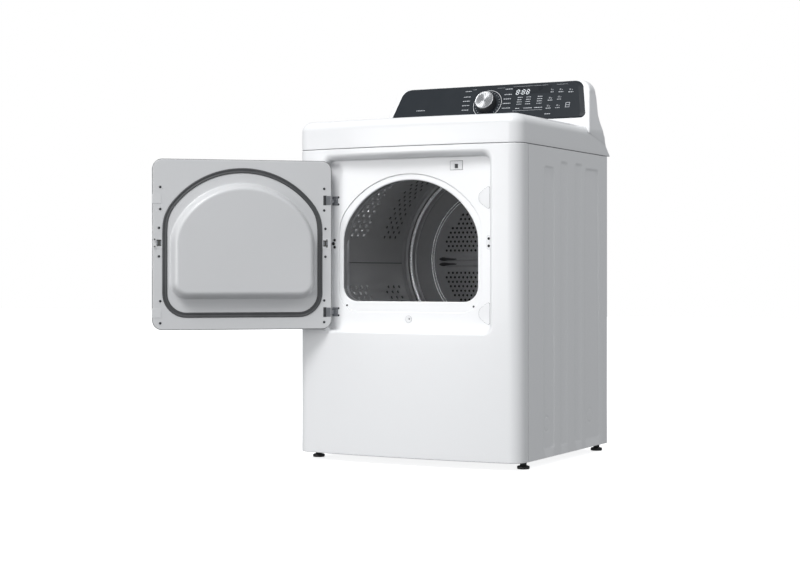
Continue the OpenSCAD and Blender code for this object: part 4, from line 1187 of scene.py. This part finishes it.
def make_door_liner():
    r = 1.6
    rows = [at_depth(door_outline(0.9), 17.6), at_depth(door_outline(0.9), 19.0)]
    for a in (0, 30, 60, 90):
        s, c = sin_cos(a)
        rows.append(at_depth(door_outline(0.9 + r * (1 - c)), DOOR_D - r * (1 - s)))
    outer, seat = door_outline(0.9 + r), arch_outline(**GASKET, grow=1.0)
    for t in (0.1, 0.25, 0.45, 0.65, 0.85, 0.96):
        rows.append(at_depth(rounded(outer, seat, t), DOOR_D))
    rows += arches(GASKET, ((1.0, 20.0), (0.2, 19.8), (0.0, 19.2), (-13.5, 19.2), (-13.7, 19.8),
                            (-14.5, 20.0)))
    base = arch_outline(**BULGE, grow=5)
    rows.append(at_depth(rounded(rows_outline(rows[-1]), base, 0.6), 20.0))
    rows += arches(BULGE, ((5, 20.0), (3.0, 20.25), (1.5, 20.9), (0.5, 22.2), (-0.5, 24.5), (-3.5, 34),
                           (-6.0, 42.0), (-6.9, 45.0), (-8.2, 47.8), (-10.2, 50.4), (-12.6, 52.3),
                           (-15.4, 53.5), (-18.0, 53.9), (-21, 54.0)))
    centre = box_outline(-30, 590, 30, 640, 8)
    top = arch_outline(**BULGE, grow=-21)
    for t in (0.3, 0.6, 0.9):
        rows.append(at_depth(rounded(top, centre, t), 54.0))
    shape = Shape().grid(rows, closed=True).cap(rows[-1]).cap(rows[0])
    piece("door_liner", shape, INNER, "door", ["door_inner_panel"], angle=32)


def make_door_joint_shade():
    """Dark loop in the joint between the door's two skins: painted shade in the gap."""
    rows = [at_depth(door_outline(i), d) for i, d in ((1.4, 17.8), (0.2, 17.9), (-0.25, 18.3),
                                                      (-0.25, 18.8), (0.2, 19.2), (1.4, 19.3))]
    piece("door_joint_shade", Shape().grid(rows + [rows[0]], closed=True), JOINT_SHADE, "door")


def rows_outline(row):
    return [(x, z) for x, _, z in row]


def make_gasket():
    profile = ((0.0, 19.3), (0.0, 20.6), (-0.6, 21.6), (-1.8, 22.2), (-3.4, 22.0), (-4.6, 21.2),
               (-5.6, 20.7), (-7.6, 20.7), (-8.8, 21.2), (-10.0, 22.0), (-11.6, 22.1), (-12.8, 21.6),
               (-13.4, 20.6), (-13.5, 19.3))
    rows = arches(GASKET, profile)
    shape = Shape().grid(rows + [rows[0]], closed=True)
    piece("gasket_body", shape, GASKET_DARK, "door", ["door_gasket"], angle=60)
    # Lighter strip along the seal's rim: a painted highlight.
    lip = arches(GASKET, ((0.3, 19.9), (0.5, 20.8), (0.1, 21.3), (-0.5, 21.3), (-0.7, 20.6)))
    piece("gasket_lip", Shape().grid(lip + [lip[0]], closed=True), GASKET_RIM_HIGHLIGHT, "door")


def counter_screw():
    """Moulded cup with a domed screw head in it."""
    cup = lathe([(6.4, -0.3), (6.3, 0.25), (5.9, 0.5), (5.2, 0.45), (4.2, -0.1)], 24)
    head = lathe([(3.6, -0.2), (3.5, 0.35), (2.7, 0.8), (1.5, 0.95), (1.4, 0.5), (0.1, 0.5)], 20)
    return cup, head


def make_door_screws():
    cups, heads = Shape(), Shape()
    for side in (-1, 1):
        for z in (387, 447, 568.5, 646, 697, 757):
            x = side * (230 if abs(z - STRIKE_Z) < 60 else 226.5)
            cup, head = counter_screw()
            cups.add(cup, on_door(x, z))
            heads.add(head, on_door(x, z))
    piece("screw_cups", cups, INNER, "door")
    piece("door_screw_heads", heads, SCREW, "door", ["door_screws"])


def make_strikes():
    plates, pockets, prongs = Shape(), Shape(), Shape()
    for side in (-1, 1):
        x = side * 230
        plates.add(rounded_bar(26, 30, 0.45, 2.0, 0.2), on_door(x, STRIKE_Z))
        pockets.add(rounded_bar(13, 17, 0.2, 1.2, 0.1), on_door(x, STRIKE_Z, DOOR_D + 0.4))
        for dz in (-6.6, 6.6):
            prongs.add(rounded_bar(13, 2.6, 0.9, 0.5, 0.3), on_door(x, STRIKE_Z + dz, DOOR_D + 0.5))
        prongs.add(rounded_bar(4.4, 11, 0.7, 0.5, 0.3), on_door(x, STRIKE_Z, DOOR_D + 0.5))
        for dz in (-9.75, 9.75):
            heights = (5.6, 6.6, 6.9) if side > 0 else (0.6, 0.9, 1.0)
            tip = lathe([(1.8, 0)] + list(zip((1.8, 1.3, 0.1), heights)), 16)
            prongs.add(tip, on_door(CATCH_X if side > 0 else SPARE_X, STRIKE_Z + dz, DOOR_D + 0.4))
    piece("strike_plates", plates, BLANK_GREY, "door")
    piece("strike_pockets", pockets, PLATED, "door")
    piece("strike_prongs", prongs, STRIKE, "door", ["door_strikes"])


def block_shape(x0, x1, d0, d1, z0, z1):
    shape = Shape()
    rows = [[(x0, d0, z), (x1, d0, z), (x1, d1, z), (x0, d1, z)] for z in (z0, z1)]
    return shape.grid(rows, closed=True).cap(rows[0]).cap(rows[1])


ARM_H = 12.0


def about_hinge(z, turn):
    s, c = sin_cos(turn)
    return lambda x, y, h: (HINGE_X + c * x - s * y, HINGE_D + s * x + c * y, z + h)


def make_hinges():
    """Flat dark bars as painted shade in the hinge pockets, blanks in the door's face, and the leaves on
    the frame with their arms.
    """
    pockets, edges, blanks = Shape(), Shape(), Shape()
    for z in HINGE_ZS:
        pockets.add(rounded_bar(8.0, 27, 0.3, 0.8, 0.1), on_door(-228.0, z, DOOR_D + 0.1))
        edges.add(rounded_bar(1.6, 27, 1.0, 0.6, 0.3), on_door(-233.0, z, DOOR_D + 0.1))
        edges.add(rounded_bar(10.6, 25, 0.7, 0.8, 0.3), on_door(-239.6, z, DOOR_D + 0.1))
        blanks.add(rounded_bar(24, 26, 0.6, 1.2, 0.25), on_door(236.2, z, DOOR_D + 0.1))
    # Flat dark bars on the door: painted shade in the hinge pockets.
    piece("hinge_pocket_shade", pockets, PLASTIC_DARK, "door")
    piece("hinge_edges", edges, PLATED, "door")
    piece("hinge_blanks", blanks, BLANK_GREY, "door", ["door_hinge_blanks"])
    leaves = Shape()
    for z in HINGE_ZS:
        leaves.add(rounded_bar(18, 25, 1.6, 2.5, 0.5), on_front(-231.5, z, WELL_D))
        boss = lathe([(5.4, -0.2), (5.4, 0.9), (4.6, 1.5), (2.6, 1.6), (2.2, 0.9), (0.1, 0.9)], 28)
        leaves.add(boss, on_front(-229.5, z, WELL_D - 1.5))
        for dz in (-1, 1):
            leaves.add(rounded_bar(9, 2.4, 0.8, 0.8, 0.3), on_front(-231, z + 9.4 * dz, WELL_D - 1.5))
            leaves.add(rounded_bar(7, 6, 0.8, 2.4, 0.3), on_front(-221.6, z + 9.8 * dz, WELL_D))
        leaves.add(block_shape(-1.2, 1.2, 2.2, 21.5, 0.3 - ARM_H / 2, ARM_H / 2 - 0.3), about_hinge(z, -22))
        barrel = [(2.15, -ARM_H / 2), (3.3, -ARM_H / 2), (3.6, 0.4 - ARM_H / 2), (3.6, ARM_H / 2 - 0.4),
                  (3.3, ARM_H / 2), (2.15, ARM_H / 2), (2.15, -ARM_H / 2)]
        leaves.add(lathe(barrel, 32), about_hinge(z, 0))
    piece("frame_leaves", leaves, PLATED, "cabinet", ["hinge_frame_leaves"], angle=30)


# ---------- small pieces in the recess ----------

def make_well_pieces():
    plate = Shape()
    for x, z, w, h in ((-11.5, 0, 13, 23), (11.5, 0, 13, 23), (0, 7.7, 10.4, 7.6), (0, -9.7, 10.4, 3.6)):
        plate.add(rounded_bar(w, h, 1.2, 0.8, 0.4), on_front(146 + x, 813.5 + z, WELL_D))
    piece("switch_plate", plate, PLASTIC_WHITE, "cabinet", ["door_switch_housing"])
    # Grey bar in the switch's opening: painted shade in the hole.
    mouth = Shape().add(rounded_bar(11, 12.5, 0.15, 1.0, 0.05), on_front(146, 811.5, WELL_D))
    piece("switch_mouth_shade", mouth, PLATED, "cabinet")
    # Dark outline under the switch plate: painted shade along its edges.
    shadow_line = Shape().add(rounded_bar(38.4, 25.4, 0.15, 1.5, 0.05), on_front(146, 813.5, WELL_D))
    piece("switch_edge_shade", shadow_line, JOINT_SHADE, "cabinet")
    socket, dark = Shape(), Shape()
    socket.add(rounded_bar(14, 36, 0.9, 4.0, 0.4), on_front(CATCH_X + 1.5, STRIKE_Z, WELL_D))
    for dz in (-9.75, 9.75):
        rim = lathe([(5.0, 0.7), (4.9, 1.3), (4.2, 1.3), (3.7, 0.7)], 24)
        socket.add(rim, on_front(CATCH_X, STRIKE_Z + dz, WELL_D))
        # Dark discs in the sockets and, below, in the spare holes: painted shade inside the holes.
        dark.add(lathe([(3.7, 0.9), (0.1, 0.95)], 20), on_front(CATCH_X, STRIKE_Z + dz, WELL_D))
    # Grey border under the catch: painted shade along its edges.
    edge = Shape().add(rounded_bar(15.2, 37.2, 0.15, 4.4, 0.05), on_front(CATCH_X + 1.5, STRIKE_Z, WELL_D))
    piece("catch_edge_shade", edge, PLATED, "cabinet")
    piece("catch", socket, PLASTIC_WHITE, "cabinet", ["catch_plate"])
    for dz in (9.75, -9.75):
        hole = lathe([(4.1, 0.0), (4.0, 0.5), (2.6, 0.7), (0.1, 0.7)], 20)
        dark.add(hole, on_front(SPARE_X, STRIKE_Z + dz, WELL_D))
    dark.add(lathe([(5.0, 0.0), (4.9, 0.6), (3.0, 0.9), (0.1, 0.9)], 20), on_front(-238, STRIKE_Z, WELL_D))
    piece("catch_hole_shade", dark, DRUM_DARK, "cabinet", ["spare_catch"])
    make_blank_covers()
    plug = lathe([(9.2, -0.1), (9.2, 0.5), (8.6, 0.9), (6.4, 0.9), (5.8, 0.5), (3.2, 0.45),
                 (0.1, 0.45)], 36)
    # Grey ring round the plug: painted shade in the gap around it.
    ring = lathe([(9.9, 0.0), (9.8, 0.2), (8.8, 0.25)], 36)
    piece("sill_plug_gap_shade", Shape().add(ring, on_front(0, 397, WELL_D)), PLATED, "cabinet")
    piece("sill_plug_cap", Shape().add(plug, on_front(0, 397, WELL_D)), PLASTIC_WHITE, "cabinet",
          ["sill_plug"])
    dot = lathe([(2.2, 0.3), (2.0, 0.7), (0.1, 0.75)], 16)
    spots = Shape().add(dot, on_front(2.2, 398, WELL_D))
    for side in (-1, 1):
        head = lathe([(2.9, -0.2), (2.8, 0.5), (1.8, 0.9), (1.0, 0.9), (0.9, 0.5), (0.1, 0.5)], 20)
        spots.add(head, on_front(side * 195.5, 433.5, RING_D))
    for z in HINGE_ZS:
        for dz in (-9.8, 9.8):
            head = lathe([(2.8, 0), (2.8, 0.4), (2.0, 0.8), (1.0, 0.9), (0.9, 0.6), (0.1, 0.6)], 20)
            spots.add(head, on_front(-221, z + dz, WELL_D - 0.6))
    piece("recess_screws", spots, SCREW, "cabinet")
    spots = Shape()
    rear = lathe([(4.6, 0), (4.6, 1.4), (3.4, 2.3), (1.4, 2.6), (1.2, 1.6), (0.1, 1.6)], 20)
    for x in (-320, -160, 160, 320):
        for z in (60, 440, 840):
            spots.add(rear, lambda a, b, c, x=x, z=z: (x + a, BACK + c, z + b))
    piece("screw_heads", spots, SCREW, "cabinet", ["panel_screws"])


def make_blank_covers():
    """Two snap-in covers over the spare hinge holes, each with one long upright side."""
    def outline(z, grow):
        lower = [(213.5, -7), (216.5, -12.5), (222, -17.5), (230, -23.5), (238, -28), (242, -28.8),
                 (244.6, -25.5)]
        points = lower + [(244.6, 0)] + [(x, -dz) for x, dz in reversed(lower)] + [(212.8, 0)]
        return [(229 + (x - 229) * (1 + grow / 16), z + dz * (1 + grow / 29)) for x, dz in points]
    covers, grooves = Shape(), Shape()
    for z in HINGE_ZS:
        rows = [at_depth(outline(z, g), d) for g, d in ((0, WELL_D), (0, WELL_D - 0.6),
                                                         (-0.5, WELL_D - 0.9), (-3, WELL_D - 0.95))]
        covers.grid(rows, closed=True).cap(rows[-1])
        # Dark rings round the covers: painted shade in their grooves.
        ring = [at_depth(outline(z, g), d) for g, d in ((-0.2, WELL_D - 0.12), (0.8, WELL_D - 0.15),
                                                         (0.85, WELL_D + 0.05))]
        grooves.grid(ring, closed=True)
    piece("blank_covers", covers, PLASTIC_WHITE, "cabinet", ["hinge_hole_covers"],
          facing=(0, -1, 0), angle=30)
    piece("cover_groove_shade", grooves, JOINT_SHADE, "cabinet", facing=(0, -1, 0))


# ---------- feet ----------

def make_feet():
    for name in ("foot_front_left", "foot_front_right", "foot_rear_left", "foot_rear_right"):
        (x0, y0, _), (x1, y1, _) = low(name), high(name)
        cx, d = (x0 + x1) / 2, (y0 + y1) / 2 - FRONT
        pad = lathe([(15.6, 0.1), (16.8, 1.2), (17.0, 3.0), (17.0, 6.6), (16.2, 8.0), (13.4, 9.0),
                     (10.2, 9.6), (9.2, 10.6), (9.0, 12.0), (9.0, 17.0)], 6 * 8, True)
        nut = lathe([(9.6, 15.2), (9.9, 15.8), (9.9, 20.2), (9.3, 20.7), (5, 20.8)], 6)
        thread = [(5.0 - 0.55 * (i % 2), 11 + 0.9 * i) for i in range(32)]
        shape = Shape().add(pad, upright(cx, d)).add(nut, upright(cx, d))
        shape.add(lathe(thread, 24, False, True), upright(cx, d))
        piece(name + "_pad", shape, BLACK, name, [name], angle=30)


# ---------- nodes carried over ----------

CARRIED = {
    GALVANISED: ("base_pan", "front_bulkhead", "rear_panel", "rear_bulkhead", "roller_shafts",
                 "motor_bracket", "terminal_cover", "lint_duct", "idler_arm"),
    BURNT: ("heater_box",),
    DUCT: ("exhaust_duct", "motor_shaft"),
    FELT: ("drum_seals",),
    NYLON: ("drum_glides",),
    RUBBER: ("left_roller", "right_roller", "drum_belt"),
    PLASTIC_DARK: ("idler_pulley", "door_switch_lever", "blower_wheel"),
    PLASTIC_GREY: ("blower_housing", "lint_filter_housing"),
    MOTOR: ("motor_body",),
    BOARD: ("control_board",),
    HEATER: ("heating_coils",),
    FILTER: ("lint_filter_frame",),
    MESH_CLOTH: ("lint_filter_screen",),
    PLATED: ("hinge_door_leaves", "moisture_sensor_bars"),
}
SHARP = ("heating_coils", "drum_seals", "drum_glides", "lint_filter_screen", "drum_belt")


def dress_carried():
    for material, names in CARRIED.items():
        for name in names:
            dress_node(name, material, 0.0 if name in SHARP else 0.4)


# ---------- light and camera ----------

def area_light(name, at, look, size, power, color=(1, 1, 1)):
    lamp = bpy.data.lights.new(name, "AREA")
    lamp.shape = "RECTANGLE"
    lamp.size, lamp.size_y = size
    lamp.energy = power
    lamp.color = color
    obj = bpy.data.objects.new(name, lamp)
    bpy.context.scene.collection.objects.link(obj)
    obj.location = at
    obj.rotation_euler = (Vector(look) - Vector(at)).to_track_quat("-Z", "Y").to_euler()
    obj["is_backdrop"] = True


SKY, GROUND = 0.64, 0.27


def make_world():
    """Soft fill that is bright overhead and dim below, behind a plain white backdrop."""
    world = bpy.data.worlds.new("studio")
    bpy.context.scene.world = world
    world.use_nodes = True
    nodes, links = world.node_tree.nodes, world.node_tree.links
    nodes.clear()
    make = lambda kind: nodes.new("ShaderNode" + kind)
    seen, fill, place, split = make("Background"), make("Background"), make("TexCoord"), make("SeparateXYZ")
    height, choose, path, out = make("MapRange"), make("MixShader"), make("LightPath"), make("OutputWorld")
    fill.inputs["Color"].default_value = (0.96, 0.98, 1, 1)
    seen.inputs["Color"].default_value = (1, 1, 1, 1)
    seen.inputs["Strength"].default_value = 1.0
    for socket, value in (("From Min", -0.25), ("From Max", 0.25), ("To Min", GROUND), ("To Max", SKY)):
        height.inputs[socket].default_value = value
    links.new(place.outputs["Generated"], split.inputs[0])
    links.new(split.outputs["Z"], height.inputs["Value"])
    links.new(height.outputs["Result"], fill.inputs["Strength"])
    links.new(path.outputs["Is Camera Ray"], choose.inputs[0])
    links.new(fill.outputs[0], choose.inputs[1])
    links.new(seen.outputs[0], choose.inputs[2])
    links.new(choose.outputs[0], out.inputs["Surface"])


def make_floor():
    mesh = bpy.data.meshes.new("floor")
    bm = bmesh.new()
    bmesh.ops.create_grid(bm, x_segments=8, y_segments=8, size=14.0)
    bm.to_mesh(mesh)
    bm.free()
    floor = bpy.data.objects.new("floor", mesh)
    bpy.context.scene.collection.objects.link(floor)
    mat = new_material("studio_floor", (0.92, 0.92, 0.92), rough=0.9)
    shade(mat, noise(mat, 2.0, 2.0), (0.915, 0.915, 0.915), (0.925, 0.925, 0.925))
    shader = mat.node_tree.nodes["Principled BSDF"]
    shader.inputs["Emission Color"].default_value = (1, 1, 1, 1)
    away = add(mat, "ShaderNodeVectorMath", operation="LENGTH")
    wire(mat, add(mat, "ShaderNodeTexCoord").outputs["Object"], away.inputs[0])
    glow = remap(mat, away.outputs["Value"], 0.78, 1.0, 0.6, 1.8)
    wire(mat, glow, shader.inputs["Emission Strength"])
    mesh.materials.append(mat)
    floor.location = (0, 0, -0.0005)
    floor.visible_diffuse = False
    floor.visible_glossy = False
    floor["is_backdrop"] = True


def make_light():
    make_world()
    make_floor()
    area_light("key", (-0.3, -6.3, 7.6), (0, 0, 0.5), (4.0, 3.6), 550)
    area_light("front_fill", (-2.4, -6.0, 1.0), (0, 0, 0.5), (3.0, 1.6), 84)
    area_light("drum_lamp", (0.10, (FRONT + 84) * MM, 0.70), (-0.10, (FRONT + 560) * MM, 0.40),
               (0.10, 0.05), 1.15)


def make_camera():
    lens = bpy.data.cameras.new("camera")
    lens.lens = 75.51
    lens.sensor_width = 36.0
    lens.shift_y = -0.0131
    lens.clip_end = 60
    camera = bpy.data.objects.new("camera", lens)
    bpy.context.scene.collection.objects.link(camera)
    camera.location = (2.1414, -4.3759, 0.5262)
    camera.rotation_euler = (math.radians(90), 0, math.radians(28.124))
    camera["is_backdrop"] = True
    bpy.context.scene.camera = camera
    bpy.context.scene.view_settings.view_transform = "Standard"
    bpy.context.scene.view_settings.look = "None"


def build():
    make_front_panel()
    make_opening_collar()
    make_deck()
    make_side_panel(1)
    make_side_panel(-1)
    make_console()
    make_fascia()
    make_marks()
    make_knob()
    make_drum()
    make_baffles()
    make_drum_back()
    make_door_shell()
    make_door_liner()
    make_door_joint_shade()
    make_gasket()
    make_door_screws()
    make_strikes()
    make_hinges()
    make_well_pieces()
    make_feet()
    dress_carried()
    make_light()
    make_camera()


def write_size():
    as_lists = lambda pair: [list(map(float, corner)) for corner in pair]
    {"cad": as_lists(CAD_BOX), "visual": as_lists(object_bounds())}


build()
write_size()
